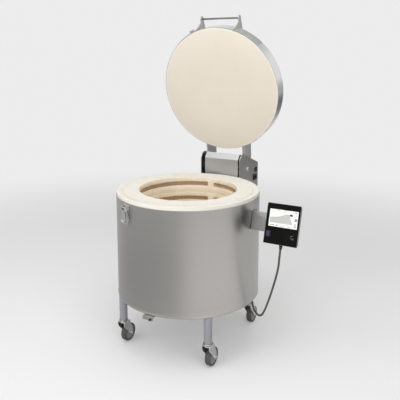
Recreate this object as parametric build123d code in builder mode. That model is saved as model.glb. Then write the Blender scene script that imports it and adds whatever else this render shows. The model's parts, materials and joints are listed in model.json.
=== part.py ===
"""Round top-loading kiln: brick-lined steel drum on casters, hinged disc lid, side controller.

Millimetres. The origin is on the floor under the kiln's axis, +Z is up, the front (the lid
handle's side) faces -Y and the controller hangs on the +X side. The lid is modelled open.
"""
from math import asin, cos, degrees, radians, sin, sqrt, tan
import os

from build123d import *

os.makedirs("parts", exist_ok=True)

# Clearances
seat = 0.3  # between pieces that rest on or in each other
swing_gap = 3.0  # beside a piece that swings
pin_gap = 0.05  # radial running clearance on pins and axles

# Stand: four legs with swivel casters
wheel_dia = 75.0
wheel_width = 24.0
wheel_chamfer = 3.0
hub_recess = 2.5
hub_dia = 46.0
axle_dia = 8.0
caster_height = 108.0
caster_trail = 30.0
fork_sheet = 2.5
fork_head_dia = 42.0
fork_head_height = 11.0
king_pin_dia = 10.0
king_pin_length = 9.0
leg_length = 110.0
leg_dia = 33.0
leg_inset = 16.0  # leg's axis inside the casing's outline
leg_angle = 45.0
leg_tab_length = 58.0
leg_tab_width = 30.0
leg_tab_sheet = 3.0

# Firing chamber and its lining
chamber_dia = 410.0  # across the flats of the brick faces
chamber_depth = 340.0
wall_facets = 20
course_count = 5
bricks_per_course = 20
brick_width = 64.0
brick_joint = 0.8
floor_brick = 64.0
floor_fibre = 31.0
fibre_width = 25.5
floor_joint_pitch = 114.0
rim_rise = 13.0  # bricks above the casing's edge

# Heating elements
groove_height = 22.0
groove_depth = 26.0
groove_drop = 30.0  # groove centre below its course's top
groove_bridge = 28.0  # plain brick at the back between a groove's two ends
coil_dia = 18.0
coil_end_gap = 5.0
lead_width = 6.0
lead_inset = 8.0  # lead centre from its coil's end
lead_length = 106.0
sleeve_width = 13.0
sleeve_length = 76.0

# Casing
casing_sheet = 1.5
base_sheet = 2.0
base_rim = 14.0
hem_height = 6.0
hem_width = 1.2
air_hole_dia = 30.0
air_hole_offset = 150.0

# Lid
lid_inset = 15.5  # band inside the casing's outline
lid_brick = 64.0
lid_band_sheet = 1.2
lid_cover_sheet = 1.5
lid_open_angle = 78.0
lid_joint_pitch = 114.0
rail_x = 93.5
rail_sheet = 5.0
rail_height = 32.0
rail_shoulder = 82.0  # from the rim to where a rail drops towards its eye
rail_foot = 3.0  # lowest edge of a rail above the lid's face
handle_overhang = 27.5  # rod beyond the lid's rim
handle_level = 74.0
handle_rod_dia = 8.0
handle_tip_radius = 13.0
foot_strip_sweep = 10.0
foot_strip_sheet = 3.0

# Lid hinge and the housing behind the drum
hinge_setback = 88.0  # shaft behind the casing
hinge_rise = 20.0
hinge_shaft_dia = 16.0
hinge_end_radius = 30.0
bush_wall = 3.0
bush_flange = 2.0
housing_sheet = 2.0
housing_depth = 220.0
housing_top_rise = 99.0
housing_back_rise = 31.0
housing_floor_lift = 24.0
housing_front_gap = 14.0
nose_radius = 34.0
crown_length = 5.5  # level piece of the side plates' top edge
vent_rise = 60.0  # lowest vent above the housing's floor
vent_pitch = 14.0
vent_length = 90.0
vent_height = 5.0
rear_cap_depth = 46.0  # rear cover's share of the roof
cover_sheet = 1.5
cover_knee_rise = 72.0
cover_drop = 2.5  # covers below the side plates' top edge
cover_margin = 5.0  # hinge cover beside a rail
frame_cheek_sheet = 4.0
frame_inset = 6.0  # cheek's outer face inside the hinge cover's edge
frame_eye_radius = 22.0
frame_stand = 4.0  # web behind the casing
frame_drop = 12.0  # web's top below the casing's edge
frame_height = 60.0
spring_dia = 36.0
spring_bore = 16.6
shaft_cap_dia = 22.0
shaft_cap_height = 6.0

# Switchgear in the housing's right side
switch_width = 27.0
switch_height = 22.0
switch_level = -2.0  # from the rim
switch_back_inset = 26.0
rocker_pin_dia = 3.0
rocker_side = 0.5  # beside the rocker in its collar
socket_width = 38.0
socket_height = 30.0
socket_level = -37.0
relay_width = 46.0
relay_height = 76.0
relay_depth = 60.0
relay_stand = 46.0  # behind the casing
relay_foot = 38.0
gland_dia = 26.0
gland_from_back = 50.0

# Toggle latch
latch_from_rail = 23.7  # latch's middle beside the left rail's
latch_drop = 32.0
latch_width = 36.0
latch_length = 64.0
latch_sheet = 2.0
latch_pin_dia = 5.0
latch_pin_stand = 10.0
latch_throw = 12.0
bail_length = 50.0
bail_width = 36.0
bail_wire = 3.0
keeper_width = 22.0
keeper_sheet = 2.0
keeper_stand = 8.0

# Controller and its holder
panel_tilt = 18.0
panel_width = 134.0
panel_height = 155.0
panel_sheet = 5.0
panel_corner = 4.0
case_depth = 24.0
case_border = 4.0
panel_side_gap = 69.0  # panel's left edge from the casing
panel_drop = 80.0  # panel centre below the rim
panel_forward = 48.5  # panel centre in front of the kiln's axis
screen_width = 113.0
screen_height = 66.0
screen_sheet = 1.0
screen_rise = 22.0
flap_width = 15.0
flap_height = 21.0
flap_sheet = 2.0
flap_gap = 1.3  # round the flap in its recess
flap_drop = 40.0  # below the panel's centre
flap_proud = 0.6
holder_height = 74.0
holder_sheet = 2.0
holder_overlap = 75.0
holder_flange = 40.0
cable_dia = 8.0
gland_inset = 21.6  # cable's entry into the base, inside the casing's outline
gland_turn = 12.76
cord_gland_dia = 16.0
cord_gland_length = 20.0
cord_gland_short = 12.0
# Points of the hanging cable between its two ends: share of the way from the base to the
# controller, outwards and upwards
cable_route = [
    (0.955, 0.740), (0.860, 0.530), (0.745, 0.320), (0.620, 0.115), (0.505, -0.055),
    (0.3875, -0.181), (0.248, -0.221), (0.104, -0.193), (0.010, -0.108),
]
cable_first_run = 30.0

# Air slide under the floor
slide_width = 46.0
slide_sheet = 2.0
slide_lip = 13.0
slide_reach = 17.0  # lip in front of the casing
guide_sheet = 1.5
guide_flange = 6.5
knob_dia = 9.0
knob_length = 7.0

# Levels from the floor
leg_top = caster_height + leg_length
floor_fibre_z = leg_top + base_sheet
floor_brick_z = floor_fibre_z + floor_fibre
hearth_z = floor_brick_z + floor_brick
rim_z = hearth_z + chamber_depth
casing_top = rim_z - rim_rise
course_height = chamber_depth / course_count

# Radii from the kiln's axis
chamber_r = chamber_dia / 2
brick_back = chamber_r + brick_width
facet_cos = cos(radians(180 / wall_facets))
brick_corner = brick_back / facet_cos
facet_turn = 90 - 180 / wall_facets  # a flat facet faces straight back
fibre_r = brick_corner + seat + fibre_width
casing_inner = fibre_r + seat
casing_r = casing_inner + casing_sheet
lid_r = casing_r - lid_inset
leg_radius = casing_r - leg_inset
handle_reach = lid_r + handle_overhang
hinge_reach = casing_r + hinge_setback
latch_angle = -degrees(asin((rail_x + latch_from_rail) / casing_r))
gland_x = (casing_r - gland_inset) * cos(radians(gland_turn))
gland_y = (casing_r - gland_inset) * sin(radians(gland_turn))


def save(piece, name):
    """Label a finished piece and write it under its own name."""
    piece.label = name
    export_step(piece, f"parts/{name}.step")


def groove_level(course):
    """Height of a course's groove centre; course 0 is the lowest."""
    return hearth_z + (course + 1) * course_height - groove_drop


# Coil leads run straight back from both sides of the plain bridge in each groove
coil_track = chamber_r + groove_depth / 2
coil_end_x = groove_bridge / 2 + coil_end_gap
lead_x = coil_end_x + lead_inset
thermo_x = -(lead_x + 30.0)
thermo_z = hearth_z + 3 * course_height + (course_height - groove_drop - groove_height / 2) / 2
thermo_dia = 10.0
thermo_length = 160.0
thermo_tip = chamber_r - 32.0

# Casing: one rolled sheet with a hem round its bottom edge and holes behind for the leads
with BuildPart() as casing:
    with BuildSketch(Plane.XZ):
        with BuildLine():
            Polyline(
                (casing_inner, leg_top),
                (casing_r + hem_width, leg_top),
                (casing_r + hem_width, leg_top + hem_height - hem_width),
                (casing_r, leg_top + hem_height),
                (casing_r, casing_top),
                (casing_inner, casing_top),
                close=True,
            )
        make_face()
    revolve(axis=Axis.Z)
    for course in range(course_count):
        with BuildSketch(Plane.XZ.offset(-casing_inner + casing_sheet * 8)):
            with Locations((lead_x, groove_level(course)), (-lead_x, groove_level(course))):
                Rectangle(sleeve_width + 4 * seat, sleeve_width + 4 * seat)
        extrude(amount=-casing_sheet * 10, mode=Mode.SUBTRACT)
    with BuildSketch(Plane.XZ.offset(-casing_inner + casing_sheet * 16)):
        with Locations((thermo_x, thermo_z)):
            Circle(thermo_dia / 2 + 1)
    extrude(amount=-casing_sheet * 18, mode=Mode.SUBTRACT)
save(casing.part, "casing")

# Base plate: a pan that closes the drum, with the air hole
with BuildPart() as base_plate:
    with BuildSketch(Plane.XY.offset(leg_top)):
        Circle(casing_inner - seat)
        with Locations((0, -air_hole_offset)):
            Circle(air_hole_dia / 2, mode=Mode.SUBTRACT)
    extrude(amount=base_sheet)
    with BuildSketch(Plane.XY.offset(leg_top + base_sheet)):
        Circle(casing_inner - seat)
        Circle(casing_inner - seat - base_sheet, mode=Mode.SUBTRACT)
    extrude(amount=base_rim)
save(base_plate.part, "base_plate")

# Floor: fibre board, then bricks laid in rows; the chamber's air hole goes through both
with BuildPart() as floor_board:
    with BuildSketch(Plane.XY.offset(floor_fibre_z)):
        Circle(casing_inner - 2 * seat - base_sheet)
        with Locations((0, -air_hole_offset)):
            Circle(air_hole_dia / 2, mode=Mode.SUBTRACT)
    extrude(amount=floor_fibre)
save(floor_board.part, "floor_insulation")

row_count = int(brick_back / floor_joint_pitch) + 1
with BuildPart() as hearth:
    with BuildSketch(Plane.XY.offset(floor_brick_z)):
        RegularPolygon(brick_back, wall_facets, major_radius=False, rotation=facet_turn)
        for row in range(-row_count, row_count):
            with Locations((0, (row + 0.5) * floor_joint_pitch)):
                Rectangle(2.2 * brick_back, brick_joint, mode=Mode.SUBTRACT)
        with Locations((0, -air_hole_offset)):
            Circle(air_hole_dia / 2, mode=Mode.SUBTRACT)
    extrude(amount=floor_brick)
save(hearth.part, "hearth_bricks")

# Backup insulation: a fibre ring between the bricks and the casing, level with the brick rim
with BuildPart() as fibre_ring:
    with BuildSketch(Plane.XY.offset(floor_brick_z)):
        Circle(fibre_r)
        RegularPolygon(brick_back + seat, wall_facets, major_radius=False, rotation=facet_turn, mode=Mode.SUBTRACT)
    extrude(amount=rim_z - floor_brick_z)
    for course in range(course_count):
        with BuildSketch(Plane.XZ.offset(-brick_back + 20)):
            with Locations((lead_x, groove_level(course)), (-lead_x, groove_level(course))):
                Rectangle(sleeve_width + 4 * seat, sleeve_width + 4 * seat)
        extrude(amount=-(fibre_width + 50), mode=Mode.SUBTRACT)
    with BuildSketch(Plane.XZ.offset(-brick_back + 20)):
        with Locations((thermo_x, thermo_z)):
            Circle(thermo_dia / 2 + 1)
    extrude(amount=-(fibre_width + 50), mode=Mode.SUBTRACT)
save(fibre_ring.part, "backup_insulation")

# Wall: courses of grooved bricks with a joint at every corner
for course in range(course_count):
    bottom = hearth_z + course * course_height
    level = groove_level(course)
    with BuildPart() as wall_course:
        with BuildSketch(Plane.XY.offset(bottom)):
            RegularPolygon(brick_back, wall_facets, major_radius=False, rotation=facet_turn)
            RegularPolygon(chamber_r, wall_facets, major_radius=False, rotation=facet_turn, mode=Mode.SUBTRACT)
            with PolarLocations((chamber_r + brick_back) / 2, bricks_per_course, facet_turn):
                Rectangle(1.5 * brick_width, brick_joint, mode=Mode.SUBTRACT)
        extrude(amount=course_height)
        with BuildSketch(Plane.XY.offset(level - groove_height / 2)):
            RegularPolygon(chamber_r + groove_depth, wall_facets, major_radius=False, rotation=facet_turn)
            RegularPolygon(chamber_r - 5, wall_facets, major_radius=False, rotation=facet_turn, mode=Mode.SUBTRACT)
            with Locations((0, coil_track)):
                Rectangle(groove_bridge, 2 * groove_depth, mode=Mode.SUBTRACT)
        extrude(amount=groove_height, mode=Mode.SUBTRACT)
        with BuildSketch(Plane.XZ.offset(-(chamber_r + groove_depth / 2))):
            with Locations((lead_x, level), (-lead_x, level)):
                Rectangle(sleeve_width + 2 * seat, sleeve_width + 2 * seat)
        extrude(amount=-brick_width, mode=Mode.SUBTRACT)
        if bottom < thermo_z < bottom + course_height:
            with BuildSketch(Plane.XZ.offset(-chamber_r / 2)):
                with Locations((thermo_x, thermo_z)):
                    Circle(thermo_dia / 2 + 1)
            extrude(amount=-brick_back, mode=Mode.SUBTRACT)
    save(wall_course.part, f"brick_course_{course + 1}")

# Heating coils: each lies on its groove's floor and ends in two leads that go out at the back
facet_angle = 360 / wall_facets
coil_corner = coil_track / facet_cos
corners = [
    (coil_corner * sin(radians(facet_angle * (i + 0.5))), coil_corner * cos(radians(facet_angle * (i + 0.5))))
    for i in range(wall_facets)
]
with BuildPart() as coils:
    for course in range(course_count):
        coil_z = groove_level(course) - groove_height / 2 + coil_dia / 2 + seat
        with BuildLine(Plane.XY.offset(coil_z)) as track:
            Polyline((coil_end_x, coil_track), *corners, (-coil_end_x, coil_track))
        with BuildSketch(Plane((coil_end_x, coil_track, coil_z), z_dir=(1, 0, 0))):
            RegularPolygon(coil_dia / 2, 6)
        sweep(path=track.wires()[0], transition=Transition.RIGHT)
        with BuildSketch(Plane.XZ.offset(-coil_track)):
            with Locations((lead_x, groove_level(course)), (-lead_x, groove_level(course))):
                Rectangle(lead_width, lead_width)
        extrude(amount=-lead_length)
save(coils.part, "heating_coils")

# Ceramic sleeves carry the leads through the wall
sleeve_start = chamber_r + groove_depth + seat
with BuildPart() as sleeves:
    for course in range(course_count):
        with BuildSketch(Plane.XZ.offset(-sleeve_start)):
            with Locations((lead_x, groove_level(course)), (-lead_x, groove_level(course))):
                Rectangle(sleeve_width, sleeve_width)
                Rectangle(lead_width + 2 * seat, lead_width + 2 * seat, mode=Mode.SUBTRACT)
        extrude(amount=-sleeve_length)
save(sleeves.part, "lead_sleeves")

# Thermocouple: ceramic tube into the chamber with a square terminal head behind the casing
thermo_head_y = thermo_tip + thermo_length
with BuildPart() as thermocouple:
    with BuildSketch(Plane.XZ.offset(-thermo_tip)):
        with Locations((thermo_x, thermo_z)):
            Circle(thermo_dia / 2)
    extrude(amount=-thermo_length)
    with BuildSketch(Plane.XZ.offset(-thermo_head_y)):
        with Locations((thermo_x, thermo_z)):
            RectangleRounded(28, 28, 4)
    extrude(amount=-18)
save(thermocouple.part, "thermocouple")

# Housing side plates: closed box behind the drum, rounded at the top front, roof line falling
# to the back. The rails of the lid swing between each plate and the hinge cover.
rail_outer = rail_x + rail_sheet / 2
plate_inner = rail_outer + swing_gap
plate_outer = plate_inner + housing_sheet
plate_mid = (plate_inner + plate_outer) / 2
housing_front = sqrt(casing_r**2 - plate_mid**2) + 1
housing_nose = casing_r + 0.5
housing_back = casing_r + housing_depth
housing_bottom = leg_top + housing_floor_lift
roof_start = housing_nose + nose_radius + crown_length
roof_slope = (housing_top_rise - housing_back_rise) / (housing_back - roof_start)


def roof_z(y, drop=0.0):
    """Height of the housing's roof line at depth y."""
    return rim_z + housing_top_rise - roof_slope * (y - roof_start) - drop


switch_y = housing_back - switch_back_inset
switch_z = rim_z + switch_level
socket_y = housing_back - switch_back_inset - 12
socket_z = rim_z + socket_level
for side, name in ((-1, "hinge_plate_left"), (1, "hinge_plate_right")):
    with BuildPart() as plate:
        with BuildSketch(Plane.YZ.offset(side * plate_mid)):
            with BuildLine():
                bottom_edge = Line((housing_back, housing_bottom), (housing_front, housing_bottom))
                front_edge = Line(bottom_edge @ 1, (housing_front, casing_top - 4))
                step = Line(front_edge @ 1, (housing_nose, rim_z - 2))
                nose = Line(step @ 1, (housing_nose, rim_z + housing_top_rise - nose_radius))
                brow = ThreePointArc(
                    nose @ 1,
                    (housing_nose + nose_radius * (1 - cos(radians(45))),
                     rim_z + housing_top_rise - nose_radius * (1 - sin(radians(45)))),
                    (housing_nose + nose_radius, rim_z + housing_top_rise),
                )
                crown = Line(brow @ 1, (roof_start, rim_z + housing_top_rise))
                roof = Line(crown @ 1, (housing_back, rim_z + housing_back_rise))
                Line(roof @ 1, bottom_edge @ 0)
            make_face()
            with Locations((hinge_reach, rim_z + hinge_rise)):
                Circle(hinge_shaft_dia / 2 + seat, mode=Mode.SUBTRACT)
            if side > 0:
                with Locations((switch_y, switch_z)):
                    Rectangle(switch_width - 5, switch_height - 5, mode=Mode.SUBTRACT)
                with Locations((socket_y, socket_z)):
                    Rectangle(socket_width - 8, socket_height - 8, mode=Mode.SUBTRACT)
        extrude(amount=housing_sheet / 2, both=True)
        with BuildSketch(Plane.XZ.offset(-(housing_back - housing_sheet))):
            flange_top = rim_z + housing_back_rise - 4
            with Locations((side * (plate_inner - 5), (housing_bottom + flange_top) / 2)):
                Rectangle(12, flange_top - housing_bottom)
        extrude(amount=-housing_sheet)
    save(plate.part, name)

# Hinge cover: one bent sheet between the two slots, from a foot on the casing up and over to
# the roof
cover_half = rail_x - rail_sheet / 2 - cover_margin
cover_front = casing_r + housing_front_gap
cover_back = housing_back - rear_cap_depth
with BuildPart() as hinge_cover:
    with BuildSketch(Plane.YZ.offset(0)):
        with BuildLine():
            foot = Line((casing_r + seat, casing_top - 8), (cover_front, casing_top - 8))
            face = Line(foot @ 1, (cover_front, rim_z + cover_knee_rise))
            knee = Line(face @ 1, (roof_start - 6, roof_z(roof_start, cover_drop)))
            Line(knee @ 1, (cover_back, roof_z(cover_back, cover_drop)))
            offset(amount=cover_sheet, side=Side.RIGHT)
        make_face()
    extrude(amount=cover_half, both=True)
save(hinge_cover.part, "hinge_cover")

# Rear cover: full width, from behind the slots over the edge and down the back
panel_y = housing_back + seat
panel_top = roof_z(panel_y, cover_drop)
with BuildPart() as rear_cover:
    with BuildSketch(Plane.YZ.offset(0)):
        with BuildLine():
            top = Line((cover_back + 2, roof_z(cover_back + 2, cover_drop)), (panel_y, panel_top))
            Line(top @ 1, (panel_y, housing_bottom + 1))
            offset(amount=cover_sheet, side=Side.LEFT)
        make_face()
    extrude(amount=plate_inner - seat, both=True)
    with BuildSketch(Plane.XZ.offset(-panel_y)):
        with Locations((0, (panel_top + housing_bottom) / 2)):
            Rectangle(2 * plate_outer, panel_top - housing_bottom - 2)
    extrude(amount=-cover_sheet)
    with BuildSketch(Plane.XZ.offset(-(housing_back - 4))):
        for vent in range(5):
            with Locations((0, housing_bottom + vent_rise + vent * vent_pitch)):
                SlotOverall(vent_length, vent_height)
    extrude(amount=-10, mode=Mode.SUBTRACT)
save(rear_cover.part, "rear_cover")

# Housing floor: a plate with upturned ends that closes the box and holds the mains gland
with BuildPart() as housing_floor:
    with BuildSketch(Plane.XY.offset(housing_bottom - housing_sheet - seat)):
        with BuildLine():
            Polyline(
                (-plate_outer, housing_front + 3),
                (-plate_outer, housing_back),
                (plate_outer, housing_back),
                (plate_outer, housing_front + 3),
            )
            ThreePointArc(
                (plate_outer, housing_front + 3), (0, casing_r + hem_width + 1), (-plate_outer, housing_front + 3)
            )
        make_face()
        with Locations((0, housing_back - gland_from_back)):
            Circle(gland_dia / 2 - 3, mode=Mode.SUBTRACT)
    extrude(amount=housing_sheet)
save(housing_floor.part, "housing_floor")

# Hinge frame: two cheeks on a web that stands off the casing; it carries the shaft inboard
cheek_x = cover_half - frame_inset
web_y = casing_r + frame_stand
web_top = casing_top - frame_drop
web_bottom = web_top - frame_height
with BuildPart() as hinge_frame:
    with BuildSketch(Plane.XY.offset(web_bottom)):
        with Locations((0, web_y)):
            Rectangle(2 * cheek_x, frame_cheek_sheet)
        with Locations((0, (casing_r + web_y) / 2)):
            Rectangle(24, web_y - casing_r - 2 * seat)
    extrude(amount=web_top - web_bottom)
    for course in range(course_count):
        with BuildSketch(Plane.XZ.offset(-casing_r)):
            with Locations((lead_x, groove_level(course)), (-lead_x, groove_level(course))):
                Rectangle(sleeve_width + 4 * seat, sleeve_width + 4 * seat)
        extrude(amount=-12, mode=Mode.SUBTRACT)
    for side in (-1, 1):
        with BuildSketch(Plane.YZ.offset(side * (cheek_x - frame_cheek_sheet / 2))):
            with BuildLine():
                Polyline(
                    (hinge_reach + frame_eye_radius, rim_z + hinge_rise),
                    (hinge_reach + frame_eye_radius, rim_z - hinge_rise),
                    (web_y - 2, web_bottom),
                    (web_y - 2, web_top),
                    (cover_front + frame_stand, web_top),
                    (hinge_reach - frame_eye_radius, rim_z + hinge_rise),
                )
                ThreePointArc(
                    (hinge_reach - frame_eye_radius, rim_z + hinge_rise),
                    (hinge_reach, rim_z + hinge_rise + frame_eye_radius),
                    (hinge_reach + frame_eye_radius, rim_z + hinge_rise),
                )
            make_face()
            with Locations((hinge_reach, rim_z + hinge_rise)):
                Circle(hinge_shaft_dia / 2 + seat, mode=Mode.SUBTRACT)
        extrude(amount=frame_cheek_sheet / 2, both=True)
save(hinge_frame.part, "hinge_frame")

# Hinge shaft: through both side plates and both cheeks, with a round cap outside each plate
shaft_half = plate_outer + seat
with BuildPart() as hinge_shaft:
    with BuildSketch(Plane.YZ.offset(-shaft_half)):
        with Locations((hinge_reach, rim_z + hinge_rise)):
            Circle(hinge_shaft_dia / 2)
    extrude(amount=2 * shaft_half)
    for side in (-1, 1):
        with BuildSketch(Plane.YZ.offset(side * shaft_half)):
            with Locations((hinge_reach, rim_z + hinge_rise)):
                Circle(shaft_cap_dia / 2)
        extrude(amount=side * shaft_cap_height, taper=20)
save(hinge_shaft.part, "hinge_shaft")

# Torsion springs on the shaft that carry the lid's weight
spring_length = 44.0
with BuildPart() as springs:
    for side in (-1, 1):
        with BuildSketch(Plane.YZ.offset(side * (cheek_x - frame_cheek_sheet - 2))):
            with Locations((hinge_reach, rim_z + hinge_rise)):
                Circle(spring_dia / 2)
                Circle(spring_bore / 2, mode=Mode.SUBTRACT)
        extrude(amount=-side * spring_length)
save(springs.part, "hinge_springs")

# Power relay with a finned heat sink, on the housing's back wall side of the drum
relay_y = casing_r + relay_stand
relay_z = housing_bottom + relay_foot
fin_count = 6
with BuildPart() as relay:
    with BuildSketch(Plane.XY.offset(relay_z)):
        with Locations((0, relay_y + relay_depth * 0.7)):
            Rectangle(relay_width, relay_depth * 0.6)
        with Locations((0, relay_y + relay_depth * 0.35)):
            Rectangle(relay_width + 16, relay_depth * 0.1)
        for fin in range(fin_count):
            with Locations(((fin - (fin_count - 1) / 2) * 11, relay_y + relay_depth * 0.15)):
                Rectangle(2, relay_depth * 0.32)
    extrude(amount=relay_height)
    with BuildSketch(Plane.XY.offset(housing_bottom)):
        with Locations((0, relay_y + relay_depth * 0.35)):
            Rectangle(relay_width - 6, relay_depth * 0.1)
    extrude(amount=relay_foot)
save(relay.part, "power_relay")

# Mains gland in the housing floor; the mains lead itself isn't part of the model
with BuildPart() as mains_gland:
    with BuildSketch(Plane.XY.offset(housing_bottom - housing_sheet - 2 * seat)):
        with Locations((0, housing_back - gland_from_back)):
            RegularPolygon(gland_dia / 2 + 1, 6)
    extrude(amount=-8)
    with BuildSketch(Plane.XY.offset(housing_bottom - housing_sheet - 2 * seat - 8)):
        with Locations((0, housing_back - gland_from_back)):
            Circle(gland_dia / 2 - 2)
    extrude(amount=-14, taper=8)
    with BuildSketch(Plane.XY.offset(housing_bottom)):
        with Locations((0, housing_back - gland_from_back)):
            Circle(gland_dia / 4)
    extrude(amount=-40, mode=Mode.SUBTRACT)
save(mains_gland.part, "mains_gland")

# Mains switch and the controller's socket on the right side plate
rocker_x = plate_outer - 3
with BuildPart() as switch_frame:
    with BuildSketch(Plane.YZ.offset(plate_outer + seat)):
        with Locations((switch_y, switch_z)):
            Rectangle(switch_width, switch_height)
            Rectangle(switch_width - 6, switch_height - 6, mode=Mode.SUBTRACT)
    extrude(amount=2.5)
    with BuildSketch(Plane.YZ.offset(plate_outer + seat)):
        with Locations((switch_y, switch_z)):
            Rectangle(switch_width - 5.6, switch_height - 5.6)
            Rectangle(switch_width - 8, switch_height - 8, mode=Mode.SUBTRACT)
    extrude(amount=-20)
    with BuildSketch(Plane.XZ.offset(-switch_y)):
        with Locations((rocker_x, switch_z)):
            Circle(rocker_pin_dia / 2 + pin_gap)
    extrude(amount=switch_width / 2, both=True, mode=Mode.SUBTRACT)
save(switch_frame.part, "switch_frame")

rocker_r = (switch_height - 10.4) / 2
rocker_half = (switch_width - 8) / 2 - rocker_side
with BuildPart() as rocker:
    with BuildSketch(Plane.XZ.offset(-switch_y)):
        with BuildLine():
            tips = Polyline(
                (rocker_x + 8.2, switch_z + rocker_r * 0.82),
                (rocker_x + 2, switch_z + rocker_r * 0.95),
                (rocker_x - 5, switch_z + 3),
                (rocker_x - 5, switch_z - 3),
                (rocker_x + 2, switch_z - rocker_r * 0.95),
                (rocker_x + 5.6, switch_z - rocker_r * 0.9),
            )
            ThreePointArc(tips @ 1, (rocker_x + 5.4, switch_z), tips @ 0)
        make_face()
    extrude(amount=rocker_half, both=True)
    with BuildSketch(Plane.XZ.offset(-switch_y)):
        with Locations((rocker_x, switch_z)):
            Circle(rocker_pin_dia / 2)
    extrude(amount=rocker_half + 1.5 * rocker_side, both=True)
save(rocker.part, "mains_rocker")

with BuildPart() as socket:
    with BuildSketch(Plane.YZ.offset(plate_outer + seat)):
        with Locations((socket_y, socket_z)):
            RectangleRounded(socket_width, socket_height, 4)
    extrude(amount=4)
    with BuildSketch(Plane.YZ.offset(plate_outer + seat)):
        with Locations((socket_y, socket_z)):
            Rectangle(socket_width - 8.8, socket_height - 8.8)
    extrude(amount=-16)
    with BuildSketch(Plane.YZ.offset(plate_outer + seat + 4)):
        with Locations((socket_y, socket_z)):
            Rectangle(socket_width - 14, socket_height - 14)
    extrude(amount=-12, mode=Mode.SUBTRACT)
save(socket.part, "controller_socket")

# Lid frame: XY is the lid's face, +Y towards the hinge, +Z out of its top. Closed, this plane
# is level on the brick rim; open, it is turned back about the hinge.
open_sin, open_cos = sin(radians(lid_open_angle)), cos(radians(lid_open_angle))
face_rise = hinge_rise - seat
lid_plane = Plane(
    origin=(
        0,
        hinge_reach - hinge_reach * open_cos - face_rise * open_sin,
        rim_z + hinge_rise + hinge_reach * open_sin - face_rise * open_cos,
    ),
    x_dir=(1, 0, 0),
    z_dir=(0, open_sin, open_cos),
)


def lid_side(x):
    """Plane across the lid at x: its X runs to the hinge and its Y out of the lid's top."""
    return Plane(origin=lid_plane.from_local_coords((x, 0, 0)), x_dir=lid_plane.y_dir, z_dir=lid_plane.x_dir)


lid_brick_r = lid_r - lid_band_sheet - seat
lid_rows = int(lid_brick_r / lid_joint_pitch) + 1
with BuildPart() as lid_bricks:
    with BuildSketch(lid_plane):
        Circle(lid_brick_r)
        for row in range(-lid_rows, lid_rows):
            with Locations(((row + 0.5) * lid_joint_pitch, 0)):
                Rectangle(brick_joint, 2.2 * lid_brick_r, mode=Mode.SUBTRACT)
    extrude(amount=lid_brick)
save(lid_bricks.part, "lid_bricks")

lid_top = lid_brick + seat + lid_cover_sheet
with BuildPart() as lid_band:
    with BuildSketch(lid_plane):
        Circle(lid_r)
        Circle(lid_r - lid_band_sheet, mode=Mode.SUBTRACT)
    extrude(amount=lid_top)
save(lid_band.part, "lid_band")

with BuildPart() as lid_cover:
    with BuildSketch(lid_plane.offset(lid_brick + seat)):
        Circle(lid_brick_r)
    extrude(amount=lid_cover_sheet)
save(lid_cover.part, "lid_cover")

# Lid rails: flat bars over the lid. Each widens past the rim, at the back into the hinge cheek
# and at the front into the handle bracket with a foot strip round the band.
rail_bottom = lid_top + seat
rail_top = rail_bottom + rail_height
rail_rim = sqrt(lid_r**2 - (rail_x - rail_sheet / 2) ** 2) + seat
hinge_v = face_rise
eye_run = sqrt(hinge_end_radius**2 - (hinge_v - rail_foot) ** 2)
bush_r = hinge_shaft_dia / 2 + pin_gap + bush_wall
strip_angle = degrees(asin((rail_x - rail_sheet / 2) / lid_r))
for side, name in ((-1, "lid_rail_left"), (1, "lid_rail_right")):
    with BuildPart() as rail:
        with BuildSketch(lid_side(side * rail_x)):
            with BuildLine():
                under = Line((rail_rim, rail_foot), (hinge_reach - eye_run, rail_foot))
                eye = ThreePointArc(
                    under @ 1,
                    (hinge_reach + hinge_end_radius * sin(radians(45)), hinge_v - hinge_end_radius * cos(radians(45))),
                    (hinge_reach, hinge_v + hinge_end_radius),
                )
                back = Line(eye @ 1, (rail_rim + rail_shoulder, rail_top - rail_height / 3))
                shoulder = Line(back @ 1, (rail_rim, rail_top))
                spine = Line(shoulder @ 1, (-rail_rim + rail_height / 2, rail_top))
                neck = Line(spine @ 1, (-handle_reach + handle_tip_radius, handle_level + handle_tip_radius))
                crown = Line(neck @ 1, (-handle_reach, handle_level + handle_tip_radius))
                tip = ThreePointArc(
                    crown @ 1,
                    (-handle_reach - handle_tip_radius, handle_level),
                    (-handle_reach, handle_level - handle_tip_radius),
                )
                throat = Line(tip @ 1, (-handle_reach + handle_tip_radius, handle_level - handle_tip_radius))
                toe = Line(throat @ 1, (-rail_rim, rail_foot))
                rise = Line(toe @ 1, (-rail_rim, rail_bottom))
                bed = Line(rise @ 1, (rail_rim, rail_bottom))
                Line(bed @ 1, under @ 0)
            make_face()
            with Locations((hinge_reach, hinge_v)):
                Circle(bush_r, mode=Mode.SUBTRACT)
        extrude(amount=rail_sheet / 2, both=True)
        strip_start = -90 + side * strip_angle
        with BuildSketch(lid_plane.offset(rail_foot + 2)):
            with BuildLine():
                inner = CenterArc((0, 0), lid_r + seat, strip_start, side * foot_strip_sweep)
                outer = CenterArc((0, 0), lid_r + seat + foot_strip_sheet, strip_start, side * foot_strip_sweep)
                Line(inner @ 0, outer @ 0)
                Line(inner @ 1, outer @ 1)
            make_face()
        extrude(amount=lid_top - rail_foot - 8)
    save(rail.part, name)

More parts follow.
